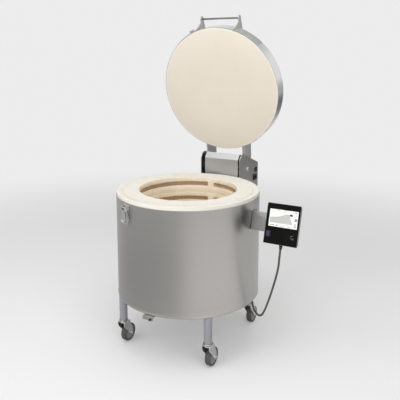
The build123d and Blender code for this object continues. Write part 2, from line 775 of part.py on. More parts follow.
# Flanged bushes in the rails turn on the hinge shaft
with BuildPart() as bushes:
    for side in (-1, 1):
        with BuildSketch(lid_side(side * (rail_x - rail_sheet / 2 - bush_flange - seat))):
            with Locations((hinge_reach, hinge_v)):
                Circle(bush_r + 4)
                Circle(bush_r - bush_wall, mode=Mode.SUBTRACT)
        extrude(amount=side * bush_flange)
        with BuildSketch(lid_side(side * (rail_x - rail_sheet / 2 - seat))):
            with Locations((hinge_reach, hinge_v)):
                Circle(bush_r - pin_gap)
                Circle(bush_r - bush_wall, mode=Mode.SUBTRACT)
        extrude(amount=side * (rail_sheet + 2 * seat))
save(bushes.part, "hinge_bushes")

# Handle rod between the brackets
with BuildPart() as handle_rod:
    with BuildSketch(lid_side(-(rail_x - rail_sheet / 2))):
        with Locations((-handle_reach, handle_level)):
            Circle(handle_rod_dia / 2)
    extrude(amount=2 * rail_x - rail_sheet)
save(handle_rod.part, "handle_rod")

# Keeper over the left foot strip, above the latch when the lid is closed
latch_sin, latch_cos = sin(radians(latch_angle)), cos(radians(latch_angle))
keeper_plane = Plane(
    origin=lid_plane.from_local_coords((lid_r * latch_sin, -lid_r * latch_cos, 0)),
    x_dir=lid_plane.from_local_coords((latch_cos, latch_sin, 0)) - lid_plane.origin,
    z_dir=lid_plane.from_local_coords((latch_sin, -latch_cos, 0)) - lid_plane.origin,
)
keeper_side = Plane(origin=keeper_plane.origin, x_dir=keeper_plane.z_dir, z_dir=-keeper_plane.x_dir)
keeper_back = foot_strip_sheet + 2 * seat
with BuildPart() as keeper:
    with BuildSketch(keeper_side):
        with BuildLine():
            Polyline(
                (keeper_back, 30),
                (keeper_back, 2),
                (keeper_back + keeper_stand, 2),
                (keeper_back + keeper_stand, 11),
                (keeper_back + keeper_stand - keeper_sheet, 11),
                (keeper_back + keeper_stand - keeper_sheet, 2 + keeper_sheet),
                (keeper_back + keeper_sheet, 2 + keeper_sheet),
                (keeper_back + keeper_sheet, 30),
                close=True,
            )
        make_face()
    extrude(amount=keeper_width / 2, both=True)
save(keeper.part, "lid_keeper")

# Toggle latch: base with two ears and the lever's pin
latch_z = rim_z - latch_drop
latch_plane = Plane(
    origin=(casing_r * latch_sin, -casing_r * latch_cos, latch_z),
    x_dir=(latch_cos, latch_sin, 0),
    z_dir=(latch_sin, -latch_cos, 0),
)
latch_side = Plane(origin=latch_plane.origin, x_dir=latch_plane.z_dir, z_dir=-latch_plane.x_dir)
ear_x = latch_width / 2 - 4
ear_height = 8.0
with BuildPart() as latch_base:
    with BuildSketch(latch_plane.offset(seat)):
        with Locations((0, -18)):
            RectangleRounded(latch_width, latch_length, 3)
    extrude(amount=latch_sheet)
    for side in (-1, 1):
        with BuildSketch(latch_side.offset(side * ear_x)):
            with BuildLine():
                ear = Polyline(
                    (latch_pin_stand, ear_height), (seat + 1, ear_height), (seat + 1, -ear_height),
                    (latch_pin_stand, -ear_height),
                )
                ThreePointArc(ear @ 1, (latch_pin_stand + ear_height, 0), ear @ 0)
            make_face()
        extrude(amount=1, both=True)
    with BuildSketch(latch_side.offset(-ear_x)):
        with Locations((latch_pin_stand, 0)):
            Circle(latch_pin_dia / 2)
    extrude(amount=2 * ear_x)
save(latch_base.part, "latch_base")

# Lever: a channel that hangs over the pin, its lower end turned out as a finger grip
lever_half = ear_x - 1 - 1
cheek_height = 7.0
with BuildPart() as lever:
    for side in (-1, 1):
        with BuildSketch(latch_side.offset(side * (lever_half - 0.75))):
            with BuildLine():
                cheek = Polyline(
                    (latch_pin_stand + cheek_height, -2),
                    (latch_pin_stand + cheek_height, -46),
                    (latch_pin_stand + 3, -46),
                    (latch_pin_stand - 4.5, -latch_throw - 3),
                    (latch_pin_stand - 4.5, 1),
                )
                RadiusArc(cheek @ 1, cheek @ 0, 7.5)
            make_face()
            with Locations((latch_pin_stand, 0)):
                Circle(latch_pin_dia / 2 + pin_gap, mode=Mode.SUBTRACT)
            with Locations((latch_pin_stand, -latch_throw)):
                Circle(bail_wire / 2 + pin_gap, mode=Mode.SUBTRACT)
        extrude(amount=0.75, both=True)
    with BuildSketch(latch_side):
        with BuildLine():
            Polyline(
                (latch_pin_stand + cheek_height, -6),
                (latch_pin_stand + cheek_height, -46),
                (latch_pin_stand + cheek_height + 5, -52),
                (latch_pin_stand + cheek_height + 4, -53),
                (latch_pin_stand + cheek_height - 1.5, -47),
                (latch_pin_stand + cheek_height - 1.5, -6),
                close=True,
            )
        make_face()
    extrude(amount=lever_half, both=True)
save(lever.part, "latch_lever")

# Wire bail, hanging down round the lever
bail_plane = latch_plane.offset(latch_pin_stand)
with BuildPart() as bail:
    with BuildLine(bail_plane):
        hook = Line((lever_half - 1.4, -latch_throw), (bail_width / 2, -latch_throw))
        loop = FilletPolyline(
            hook @ 1,
            (bail_width / 2, -latch_throw - bail_length),
            (-bail_width / 2, -latch_throw - bail_length),
            (-bail_width / 2, -latch_throw),
            radius=6,
        )
        Line(loop @ 1, (-lever_half + 1.4, -latch_throw))
    with BuildSketch(Plane(origin=bail_plane.from_local_coords((lever_half - 1.4, -latch_throw, 0)),
                           z_dir=bail_plane.x_dir)):
        RegularPolygon(bail_wire / 2, 8)
    sweep(transition=Transition.RIGHT)
save(bail.part, "latch_bail")

# Controller: panel plane faces the front and leans back. Its origin is the panel's centre.
tilt_sin, tilt_cos = sin(radians(panel_tilt)), cos(radians(panel_tilt))
panel_x = casing_r + panel_side_gap + panel_width / 2
panel_plane = Plane(
    origin=(panel_x, -panel_forward, rim_z - panel_drop),
    x_dir=(1, 0, 0),
    z_dir=(0, -tilt_cos, tilt_sin),
)
flap_x = -panel_width / 2 + 9 + flap_width / 2
flap_y = -flap_drop
flap_pin_x = flap_x - flap_width / 2
with BuildPart() as controller_front:
    with BuildSketch(panel_plane):
        RectangleRounded(panel_width, panel_height, panel_corner)
    extrude(amount=-panel_sheet)
    with BuildSketch(panel_plane):
        with Locations((2, screen_rise)):
            Rectangle(screen_width + 2 * seat, screen_height + 2 * seat)
    extrude(amount=-screen_sheet, mode=Mode.SUBTRACT)
    with BuildSketch(panel_plane):
        with Locations((flap_x, flap_y)):
            Rectangle(flap_width + 2 * flap_gap, flap_height + 2 * flap_gap)
    extrude(amount=-flap_sheet - 1, mode=Mode.SUBTRACT)
save(controller_front.part, "controller_front")

with BuildPart() as screen:
    with BuildSketch(panel_plane.offset(-screen_sheet)):
        with Locations((2, screen_rise)):
            Rectangle(screen_width, screen_height)
    extrude(amount=screen_sheet - 0.2)
save(screen.part, "controller_screen")

# Flap over the data socket, its left edge rolled round the hinge's pin
with BuildPart() as flap:
    with BuildSketch(panel_plane.offset(flap_proud - flap_sheet)):
        with Locations((flap_x, flap_y)):
            Rectangle(flap_width, flap_height)
    extrude(amount=flap_sheet)
    flap_pin = panel_plane.from_local_coords((flap_pin_x, flap_y, flap_proud - flap_sheet / 2))
    with BuildSketch(Plane(flap_pin, z_dir=panel_plane.y_dir)):
        Circle(flap_sheet / 2)
    extrude(amount=flap_height / 2, both=True)
    with BuildSketch(panel_plane.offset(flap_proud)):
        with Locations((flap_x + flap_width / 2 - 2, flap_y)):
            Rectangle(2, flap_height - 8)
    extrude(amount=1)
save(flap.part, "data_port_flap")

case_plane = panel_plane.offset(-panel_sheet - seat)
with BuildPart() as controller_back:
    with BuildSketch(case_plane):
        RectangleRounded(panel_width - 2 * case_border, panel_height - 2 * case_border, panel_corner)
    extrude(amount=-case_depth, taper=4)
save(controller_back.part, "controller_back")

# Holder: a leaning plate behind the controller with a flange bent back along the casing
holder_plane = case_plane.offset(-case_depth - seat)
holder_left = casing_r + seat - panel_x
with BuildPart() as holder:
    with BuildSketch(holder_plane):
        with Locations((holder_left + (panel_side_gap + holder_overlap) / 2, 0)):
            Rectangle(panel_side_gap + holder_overlap, holder_height)
    extrude(amount=-holder_sheet)
    fold_low = holder_plane.from_local_coords((holder_left, -holder_height / 2, 0))
    fold_high = holder_plane.from_local_coords((holder_left, holder_height / 2, 0))
    with BuildSketch(Plane.YZ.offset(casing_r + seat)):
        with BuildLine():
            Polyline(
                (fold_low.Y, fold_low.Z),
                (fold_high.Y, fold_high.Z),
                (fold_high.Y + holder_flange - 10, fold_high.Z),
                (fold_high.Y + holder_flange, fold_high.Z - 10),
                (fold_high.Y + holder_flange, fold_low.Z + 10),
                (fold_high.Y + holder_flange - 10, fold_low.Z),
                close=True,
            )
        make_face()
    extrude(amount=holder_sheet)
save(holder.part, "controller_holder")

# Control cable: out of the controller's bottom edge, down in an open loop and up into the base
# plate behind the right leg
cable_depth = -panel_sheet - case_depth / 2
exit_plane = Plane(
    origin=panel_plane.from_local_coords((0, -panel_height / 2 + case_border - seat, cable_depth)),
    x_dir=(1, 0, 0),
    z_dir=-panel_plane.y_dir,
)
base_exit = Plane(origin=(gland_x, gland_y, leg_top - seat), x_dir=(1, 0, 0), z_dir=(0, 0, -1))
with BuildPart() as glands:
    for plane, length in ((exit_plane, cord_gland_length), (base_exit, cord_gland_short)):
        with BuildSketch(plane):
            Circle(cord_gland_dia / 2)
        extrude(amount=length / 3)
        with BuildSketch(plane.offset(length / 3)):
            Circle(cord_gland_dia / 2 - 1)
        extrude(amount=length * 2 / 3, taper=6)
save(glands.part, "cable_glands")

cable_start = exit_plane.from_local_coords((0, 0, cord_gland_length + seat))
cable_turn = exit_plane.from_local_coords((0, 0, cord_gland_length + seat + cable_first_run))
cable_end = base_exit.from_local_coords((0, 0, cord_gland_short + seat))
span = cable_start - cable_end
cable_points = [
    (cable_start.X, cable_start.Y, cable_start.Z),
    (cable_turn.X, cable_turn.Y, cable_turn.Z),
    *[(cable_end.X + out * span.X, cable_end.Y + out * span.Y, cable_end.Z + up * span.Z) for out, up in cable_route],
    (cable_end.X, cable_end.Y, cable_end.Z),
]
print("cable points", [tuple(round(value, 2) for value in point) for point in cable_points])
cable_radii = []
for before, corner, after in zip(cable_points, cable_points[1:], cable_points[2:]):
    run_in, run_out = Vector(*corner) - Vector(*before), Vector(*after) - Vector(*corner)
    half_turn = radians(run_in.get_angle(run_out) / 2)
    cable_radii.append(0.45 * min(run_in.length, run_out.length) / tan(half_turn))
print("cable radii", [round(r) for r in cable_radii])

with BuildPart() as cable:
    with BuildLine():
        route = FilletPolyline(*cable_points, radius=cable_radii)
    with BuildSketch(Plane(origin=route @ 0, z_dir=route % 0)):
        Circle(cable_dia / 2)
    sweep()
save(cable.part, "controller_cable")
cable_section = 3.14159 * cable_dia**2 / 4
print("cable length", round(route.length), "volume ratio", round(cable.part.volume / (cable_section * route.length), 4))

# Air slide: a plate in two guides under the base plate, its front lip turned down with a knob
slide_front = casing_r + slide_reach
slide_back = air_hole_offset - air_hole_dia
slide_top = leg_top - seat
with BuildPart() as air_slide:
    with BuildSketch(Plane.XY.offset(slide_top)):
        with Locations((0, -(slide_front + slide_back) / 2)):
            Rectangle(slide_width, slide_front - slide_back)
    extrude(amount=-slide_sheet)
    with BuildSketch(Plane.XZ.offset(slide_front - slide_sheet)):
        with Locations((0, slide_top - slide_lip / 2)):
            Rectangle(slide_width, slide_lip)
    extrude(amount=slide_sheet)
    with BuildSketch(Plane.XZ.offset(slide_front)):
        with Locations((slide_width / 2 - 9, slide_top - slide_lip / 2)):
            Circle(knob_dia / 2)
    extrude(amount=knob_length)
save(air_slide.part, "air_slide")

guide_x = slide_width / 2 + seat
guide_top = slide_top - slide_sheet - seat
guide_length = slide_front - slide_back - 40
with BuildPart() as guides:
    for side in (-1, 1):
        with BuildSketch(Plane.XZ.offset(slide_back)):
            with BuildLine():
                Polyline(
                    (side * guide_x, leg_top),
                    (side * (guide_x + 9), leg_top),
                    (side * (guide_x + 9), leg_top - guide_sheet),
                    (side * (guide_x + guide_sheet), leg_top - guide_sheet),
                    (side * (guide_x + guide_sheet), guide_top - guide_sheet),
                    (side * (guide_x - guide_flange), guide_top - guide_sheet),
                    (side * (guide_x - guide_flange), guide_top),
                    (side * guide_x, guide_top),
                    close=True,
                )
            make_face()
        extrude(amount=guide_length)
save(guides.part, "air_guides")

# Legs: welded tab under the base plate, tube and the king pin of the caster
fork_top = caster_height - seat
axle_z = wheel_dia / 2
for front, name_y in ((-1, "front"), (1, "rear")):
    for side, name_x in ((-1, "left"), (1, "right")):
        leg_x = side * leg_radius * sin(radians(leg_angle))
        leg_y = front * leg_radius * cos(radians(leg_angle))
        place = f"{name_y}_{name_x}"
        inward = Plane(origin=(leg_x, leg_y, leg_top), x_dir=(-leg_x, -leg_y, 0), z_dir=(0, 0, -1))
        with BuildPart() as leg:
            with BuildSketch(Plane((leg_x, leg_y, caster_height))):
                Circle(leg_dia / 2)
            extrude(amount=leg_length)
            with BuildSketch(inward):
                with Locations((leg_tab_length / 2, 0)):
                    Rectangle(leg_tab_length, leg_tab_width)
                with Locations((leg_tab_length - 12, 0)):
                    Circle(4, mode=Mode.SUBTRACT)
            extrude(amount=leg_tab_sheet)
            with BuildSketch(Plane((leg_x, leg_y, caster_height))):
                Circle(king_pin_dia / 2)
            extrude(amount=-king_pin_length - seat)
        save(leg.part, f"leg_{place}")

        # Fork: round head on the king pin, two plates that trail back to the axle
        hub_y = leg_y + caster_trail
        wheel_half = wheel_width / 2
        fork_x = wheel_half + 2.5
        head_bottom = fork_top - fork_head_height
        with BuildPart() as fork:
            with BuildSketch(Plane((leg_x, leg_y, fork_top))):
                Circle(fork_head_dia / 2)
                Circle(king_pin_dia / 2 + pin_gap, mode=Mode.SUBTRACT)
            extrude(amount=-fork_head_height)
            for wall in (-1, 1):
                with BuildSketch(Plane.YZ.offset(leg_x + wall * (fork_x + fork_sheet / 2))):
                    with BuildLine():
                        cheek = Polyline(
                            (hub_y + 9, axle_z),
                            (leg_y + fork_head_dia * 0.62, head_bottom + 2),
                            (leg_y + 6, fork_top - 1.5),
                            (leg_y - fork_head_dia * 0.28, head_bottom + 3),
                            (leg_y - fork_head_dia * 0.36, head_bottom - 12),
                            (hub_y - 9, axle_z),
                        )
                        RadiusArc(cheek @ 1, cheek @ 0, -9)
                    make_face()
                extrude(amount=fork_sheet / 2, both=True)
            with BuildSketch(Plane.YZ.offset(leg_x - fork_x - fork_sheet)):
                with Locations((hub_y, axle_z)):
                    Circle(axle_dia / 2)
            extrude(amount=2 * (fork_x + fork_sheet))
        save(fork.part, f"caster_fork_{place}")

        with BuildPart() as wheel:
            with BuildSketch(Plane.YZ.offset(leg_x - wheel_half)):
                with Locations((hub_y, axle_z)):
                    Circle(wheel_dia / 2)
                    Circle(axle_dia / 2 + pin_gap, mode=Mode.SUBTRACT)
            extrude(amount=wheel_width)
            rims = wheel.edges().filter_by(GeomType.CIRCLE).group_by(SortBy.RADIUS)[-1]
            chamfer(rims, wheel_chamfer)
        save(wheel.part, f"caster_wheel_{place}")
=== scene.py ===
import json
import math

import bmesh
import bpy
import numpy as np
from mathutils import Matrix, Vector
from mathutils.geometry import tessellate_polygon

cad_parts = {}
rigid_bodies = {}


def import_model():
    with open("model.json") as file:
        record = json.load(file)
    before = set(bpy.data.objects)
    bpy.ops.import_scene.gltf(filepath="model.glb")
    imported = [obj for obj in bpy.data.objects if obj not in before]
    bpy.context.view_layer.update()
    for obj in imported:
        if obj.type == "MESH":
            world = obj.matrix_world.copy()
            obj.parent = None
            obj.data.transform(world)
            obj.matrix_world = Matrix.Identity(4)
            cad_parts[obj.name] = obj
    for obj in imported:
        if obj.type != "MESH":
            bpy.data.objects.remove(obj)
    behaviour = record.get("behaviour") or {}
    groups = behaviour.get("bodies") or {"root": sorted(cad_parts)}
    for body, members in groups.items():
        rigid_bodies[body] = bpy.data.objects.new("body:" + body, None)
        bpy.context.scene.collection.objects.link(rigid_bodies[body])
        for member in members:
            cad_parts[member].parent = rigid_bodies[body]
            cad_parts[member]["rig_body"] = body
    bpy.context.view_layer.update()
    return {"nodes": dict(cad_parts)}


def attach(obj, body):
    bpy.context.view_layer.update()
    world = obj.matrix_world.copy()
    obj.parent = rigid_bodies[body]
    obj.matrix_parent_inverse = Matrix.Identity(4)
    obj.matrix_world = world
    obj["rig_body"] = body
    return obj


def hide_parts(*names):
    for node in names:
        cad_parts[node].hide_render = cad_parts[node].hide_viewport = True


scene = bpy.context.scene
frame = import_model()
nodes = frame["nodes"]

# Camera: the photograph is square, 400 pixels wide
camera = {
    "place": (1.0909, -1.9047, 1.203),
    "heading": 28.5,  # degrees from +Y towards -X
    "tiltDown": 8.9,
    "focalPixels": 534.3,
    "pictureWidth": 400,
    "sensor": 36,
    "shiftY": -0.15,
}
camData = bpy.data.cameras.new("camera")
camData.lens = camera["focalPixels"] / camera["pictureWidth"] * camera["sensor"]
camData.sensor_width = camera["sensor"]
camData.shift_y = camera["shiftY"]
camData.clip_end = 60
camObject = bpy.data.objects.new("camera", camData)
camObject.location = camera["place"]
camObject.rotation_euler = (math.radians(90 - camera["tiltDown"]), 0, math.radians(camera["heading"]))
scene.collection.objects.link(camObject)
scene.camera = camObject


# One socket of a material's nodes, so that shader maths reads as an expression
class Sock:
    def __init__(self, tree, socket):
        self.tree, self.socket = tree, socket

    def node(self, kind, settings=None, inputs=None, output=0):
        # a new node: its settings first, then a link or a value for each input named
        made = self.tree.nodes.new(kind)
        for key, value in (settings or {}).items():
            setattr(made, key, value)
        for key, value in (inputs or {}).items():
            if isinstance(value, Sock):
                self.tree.links.new(value.socket, made.inputs[key])
            else:
                made.inputs[key].default_value = value
        return Sock(self.tree, made.outputs[output])

    def maths(self, operation, *values):
        return self.node("ShaderNodeMath", {"operation": operation}, dict(enumerate(values)))

    def __add__(self, other):
        return self.maths("ADD", self, other)

    def __radd__(self, other):
        return self.maths("ADD", other, self)

    def __sub__(self, other):
        return self.maths("SUBTRACT", self, other)

    def __rsub__(self, other):
        return self.maths("SUBTRACT", other, self)

    def __mul__(self, other):
        return self.maths("MULTIPLY", self, other)

    def __rmul__(self, other):
        return self.maths("MULTIPLY", other, self)

    def vector(self, operation, other=(0, 0, 0), output="Value"):
        # Vector Math on this vector and another one
        return self.node("ShaderNodeVectorMath", {"operation": operation}, {0: self, 1: other}, output)

    def between(self, low, high):
        # 0 below low, 1 above high, smooth in between
        return self.node("ShaderNodeMapRange", {"interpolation_type": "SMOOTHSTEP"},
                         {"Value": self, "From Min": low, "From Max": high})

    def noise(self, scale, detail, rough=0.5):
        return self.node("ShaderNodeTexNoise", None,
                         {"Vector": self, "Scale": scale, "Detail": detail, "Roughness": rough})

    def stretched(self, scale, turn=(0, 0, 0)):
        # coordinates times the scale, then turned
        return self.node("ShaderNodeMapping", None, {"Vector": self, "Scale": scale, "Rotation": turn})

    def blendTo(self, colourA, colourB):
        # mixes two colours by this value; a Mix node's colours are its inputs 6 and 7, and output 2
        colourA, colourB = (c if isinstance(c, Sock) else (*c, 1) for c in (colourA, colourB))
        return self.node("ShaderNodeMix", {"data_type": "RGBA"}, {0: self, 6: colourA, 7: colourB}, 2)


def newMaterial(name, recipe, constants=None):
    # recipe(place) gets the Object coordinates and returns {socket name: Sock}, "Bump" among them
    material = bpy.data.materials.new(name)
    material.use_nodes = True
    tree = material.node_tree
    shader = tree.nodes["Principled BSDF"]
    for key, value in (constants or {}).items():
        shader.inputs[key].default_value = value
    place = Sock(tree, tree.nodes.new("ShaderNodeTexCoord").outputs["Object"])
    looks = recipe(place)
    if "Bump" in looks:
        height, strength, depth = looks.pop("Bump")
        looks["Normal"] = place.node("ShaderNodeBump", None,
                                     {"Height": height, "Strength": strength, "Distance": depth})
    for key, value in looks.items():
        tree.links.new(value.socket, shader.inputs[key])
    return material


def metal(name, recipe, share=1.0):
    # a material that is metal by this share
    return newMaterial(name, recipe, {"Metallic": share})


def brushedRecipe(light, dark, grain, rough, spread=0.08, depth=0.00001):
    # noise squeezed across the brushing gives its lines, with slow cloudy changes over them
    def recipe(place):
        lines = place.stretched(grain).noise(1.0, 3.0, 0.6)
        bands = place.stretched(tuple(value * 0.12 for value in grain)).noise(1.0, 2.0)
        clouds = place.noise(4.0, 2.0)
        mix = lines * 0.5 + bands * 0.25 + clouds * 0.25
        return {
            "Base Color": mix.between(0.2, 0.8).blendTo(dark, light),
            "Roughness": lines * spread + (rough - spread / 2) + clouds * 0.04,
            "Bump": (lines, 0.12, depth),
        }
    return recipe


def brickRecipe(light, dark, pits=0.5):
    # porous firebrick: fine pits from small cells, darkened as painted shade, with slow warm and cool
    # patches
    def recipe(place):
        patches = place.noise(9.0, 3.0)
        grain = place.noise(420.0, 3.0, 0.7)
        cells = place.node("ShaderNodeTexVoronoi", {"feature": "F1"}, {"Vector": place, "Scale": 650.0})
        holes = 1 - cells.between(0.12, 0.4)
        tone = (patches.between(0.3, 0.7) * 0.6 + grain.between(0.3, 0.7) * 0.4).between(0.1, 0.9)
        # painted shade: the pits take the dark tone made darker still
        deep = tuple(value * 0.7 for value in dark)
        return {
            "Base Color": (holes * pits * 0.35).blendTo(tone.blendTo(dark, light), deep),
            "Roughness": grain * 0.1 + 0.85,
            "Bump": (grain * 0.6 - holes * pits, 0.5, 0.0006),
        }
    return recipe


def plainRecipe(light, dark, rough, spread=0.08, scale=60.0, depth=0.00006, bump=0.3):
    # cast or moulded surface: fine noise in tone, roughness and height
    def recipe(place):
        fine = place.noise(scale * 14, 3.0, 0.6)
        slow = place.noise(scale * 0.2, 2.0)
        return {
            "Base Color": (fine * 0.5 + slow * 0.5).between(0.3, 0.7).blendTo(dark, light),
            "Roughness": slow * spread + (rough - spread / 2),
            "Bump": (fine, bump, depth),
        }
    return recipe


def inkRecipe(light, dark, rough):
    # printed film: the plain recipe with a nearly flat surface
    return plainRecipe(light, dark, rough, 0.05, 30.0, 0.00001, 0.05)


steelBody = metal("brushed steel drum", brushedRecipe(
    (0.5, 0.485, 0.465), (0.475, 0.46, 0.44), (14, 14, 1400), 0.33, 0.05, 0.000004))
steelLid = metal("brushed steel band", brushedRecipe(
    (0.84, 0.84, 0.84), (0.78, 0.78, 0.78), (9, 9, 700), 0.16))
steelPlate = metal("brushed steel plate", brushedRecipe(
    (0.6, 0.58, 0.55), (0.55, 0.53, 0.5), (9, 12, 800), 0.3))
steelCover = metal("brushed light cover", brushedRecipe(
    (0.53, 0.535, 0.54), (0.48, 0.485, 0.49), (7, 500, 500), 0.42))
# painted shade: the same brushed steel as the plates, made darker for the controller holder
steelHolderShaded = metal("brushed holder plate with painted shade", brushedRecipe(
    (0.33, 0.325, 0.32), (0.29, 0.285, 0.28), (9, 12, 800), 0.36))
slideSteel = metal("air slide steel", brushedRecipe(
    (0.5, 0.485, 0.465), (0.44, 0.425, 0.405), (500, 9, 9), 0.38))
bracketMetal = metal("blasted bracket steel", plainRecipe(
    (0.5, 0.5, 0.485), (0.44, 0.44, 0.425), 0.45, 0.08, 90.0), 0.6)
rodSteel = metal("dull rod steel", plainRecipe((0.22, 0.22, 0.21), (0.17, 0.17, 0.165), 0.5, 0.08, 90.0))
steelSmall = metal("turned steel", plainRecipe((0.7, 0.7, 0.7), (0.58, 0.58, 0.58), 0.22))
zincPlate = metal("zinc plated steel", plainRecipe(
    (0.76, 0.76, 0.76), (0.62, 0.62, 0.62), 0.26, 0.14, 90.0))
bronze = metal("bearing bronze", plainRecipe((0.55, 0.36, 0.16), (0.45, 0.28, 0.12), 0.3))
bezelMetal = metal("controller edge", plainRecipe((0.3, 0.31, 0.31), (0.24, 0.25, 0.25), 0.4), 0.9)
finMetal = metal("finned aluminium", plainRecipe((0.6, 0.61, 0.63), (0.5, 0.51, 0.53), 0.4))
coilWire = metal("oxidised element wire", plainRecipe(
    (0.86, 0.68, 0.48), (0.76, 0.56, 0.36), 0.6, 0.2, 40.0), 0.15)
wallBrick = newMaterial("wall firebrick", brickRecipe((0.96, 0.86, 0.7), (0.945, 0.84, 0.67)))
rimBrick = newMaterial("rim fibre", brickRecipe((0.82, 0.79, 0.72), (0.8, 0.77, 0.69), 0.15))
floorFibre = newMaterial("floor fibre board", brickRecipe((0.8, 0.78, 0.72), (0.74, 0.71, 0.64), 0.2))
ceramicTube = newMaterial("ceramic tube", plainRecipe((0.8, 0.76, 0.67), (0.74, 0.69, 0.6), 0.5))
legPaint = newMaterial("grey leg paint", plainRecipe(
    (0.33, 0.335, 0.36), (0.3, 0.305, 0.33), 0.34, 0.08, 120.0, 0.00008, 0.4))
blackPlastic = newMaterial("black plastic", plainRecipe(
    (0.02, 0.02, 0.022), (0.012, 0.012, 0.014), 0.42, 0.1, 150.0, 0.00005, 0.3))
casePlastic = newMaterial("controller case plastic", plainRecipe(
    (0.075, 0.08, 0.085), (0.055, 0.058, 0.062), 0.5, 0.1, 160.0, 0.00006, 0.4))
panelGloss = newMaterial("panel film", plainRecipe(
    (0.008, 0.008, 0.0075), (0.005, 0.005, 0.0048), 0.36, 0.06, 100.0, 0.00002, 0.1),
    {"Specular IOR Level": 0.04})
screenWhite = newMaterial("display white", inkRecipe((0.86, 0.87, 0.84), (0.82, 0.83, 0.8), 0.3),
                          {"Coat Weight": 0.3, "Coat Roughness": 0.05})
screenGrey = newMaterial("display grey", inkRecipe((0.56, 0.56, 0.54), (0.5, 0.5, 0.48), 0.35))
signGrey = newMaterial("sign grey", inkRecipe((0.3, 0.3, 0.29), (0.26, 0.26, 0.25), 0.4))
screenInk = newMaterial("display ink", inkRecipe((0.03, 0.03, 0.032), (0.02, 0.02, 0.022), 0.35))
screenGreen = newMaterial("display key colour", inkRecipe((0.6, 0.6, 0.08), (0.52, 0.52, 0.06), 0.35))
flapPlastic = newMaterial("port flap plastic", plainRecipe(
    (0.03, 0.028, 0.06), (0.024, 0.022, 0.046), 0.45))
cableSheath = newMaterial("cable sheath", plainRecipe(
    (0.075, 0.072, 0.062), (0.06, 0.058, 0.05), 0.45, 0.1, 120.0))
tyreRubber = newMaterial("grey caster tread", plainRecipe(
    (0.085, 0.084, 0.08), (0.062, 0.061, 0.058), 0.55, 0.14, 60.0, 0.0001, 0.5))
hubPlastic = newMaterial("caster hub", plainRecipe((0.33, 0.33, 0.32), (0.27, 0.27, 0.26), 0.4, 0.1, 80.0))
print("materials made")

# Sizes shared by the pieces, in millimetres: the CAD model's, but for the grooves' height, which is
# drawn a little smaller, as the photograph shows it
kiln = {
    "chamber": 205.0,  # from the axis to the flat face of a brick
    "brickBack": 269.0,
    "facets": 20, "courses": 5, "course": 68.0,
    "hearth": 315.0, "rim": 655.0, "steelTop": 642.0, "bottom": 218.0,
    "casing": 299.953,  # outer radius
    "casingInner": 298.45,
    "grooveDrop": 30.0,  # from a course's top to the middle of its groove
    "grooveHeight": 19.5,
    "grooveDepth": 26.0,
    "bridge": 28.0,  # plain stretch of the wall at the back
}
lid = {
    "openAngle": 78.0,
    "pinReach": 387.953,  # from the lid's centre to the hinge pin, along the face
    "pinHeight": 675.0,
    "pinOver": 19.7,  # pin above the lid's face
    "radius": 284.45, "band": 1.2, "brick": 64.0, "cover": 1.5, "gap": 0.3,
    "steps": 288,
}
facet = 2 * math.pi / kiln["facets"]
openAngle = math.radians(lid["openAngle"])
hingePin = np.array([0.0, lid["pinReach"], lid["pinHeight"]])
lidX = np.array([1.0, 0.0, 0.0])
lidY = np.array([0.0, math.cos(openAngle), -math.sin(openAngle)])  # towards the hinge, along the face
lidZ = np.array([0.0, math.sin(openAngle), math.cos(openAngle)])  # out of the lid's top
lidOrigin = hingePin - lid["pinReach"] * lidY - lid["pinOver"] * lidZ
xDir, yDir, zDir = (1, 0, 0), (0, 1, 0), (0, 0, 1)


def fromFacet(angle):
    # how far an angle is from the middle of the nearest flat side of the lining
    return (angle - math.pi / 2 + facet / 2) % facet - facet / 2


def onKiln(x, y, z):
    # plain coordinates: the kiln's own axes
    return np.stack(np.broadcast_arrays(x, y, z), -1).astype(float)


def onLid(x, reach, height):
    # the open lid's coordinates: sideways, towards the hinge and up from the face
    return (lidOrigin + np.multiply.outer(x, lidX) + np.multiply.outer(reach, lidY)
            + np.multiply.outer(height, lidZ))


def onAxes(origin, xAxis, yAxis):
    # a local frame: first, second and third coordinate along xAxis, yAxis and their cross product
    origin, xAxis, yAxis = (np.asarray(v, float) for v in (origin, xAxis, yAxis))
    xAxis, yAxis = xAxis / np.linalg.norm(xAxis), yAxis / np.linalg.norm(yAxis)
    zAxis = np.cross(xAxis, yAxis)

    def place(x, y, z):
        x, y, z = np.broadcast_arrays(x, y, z)
        return origin + x[..., None] * xAxis + y[..., None] * yAxis + z[..., None] * zAxis
    return place


def surface(points, closeRows=False, closeColumns=False):
    # a grid of points, with a four-sided face between each two rows and columns beside each other
    points = np.asarray(points, float)
    ids = np.arange(points.shape[0] * points.shape[1]).reshape(points.shape[:2])
    if closeRows:
        ids = np.vstack([ids, ids[:1]])
    if closeColumns:
        ids = np.hstack([ids, ids[:, :1]])
    faces = np.stack([ids[:-1, :-1], ids[1:, :-1], ids[1:, 1:], ids[:-1, 1:]], -1)
    return points.reshape(-1, 3), faces.reshape(-1, 4).tolist()


def lathe(profile, place, steps):
    # each (radius, height) of the profile goes round the axis: x = r cos a, y = r sin a, z = h
    profile = np.asarray(profile, float)
    angle = np.linspace(0, 2 * math.pi, steps, endpoint=False)
    radius, height = profile[:, 0][None, :], profile[:, 1][None, :]
    x, y = np.cos(angle)[:, None] * radius, np.sin(angle)[:, None] * radius
    points = place(x.ravel(), y.ravel(), np.broadcast_to(height, x.shape).ravel())
    return surface(points.reshape(steps, len(profile), 3), closeRows=True)


def turned(profile, place, steps):
    # a lathe shape whose profile may start or end at the axis, 0.02 mm from it
    return lathe([(max(radius, 0.02), height) for radius, height in profile], place, steps)


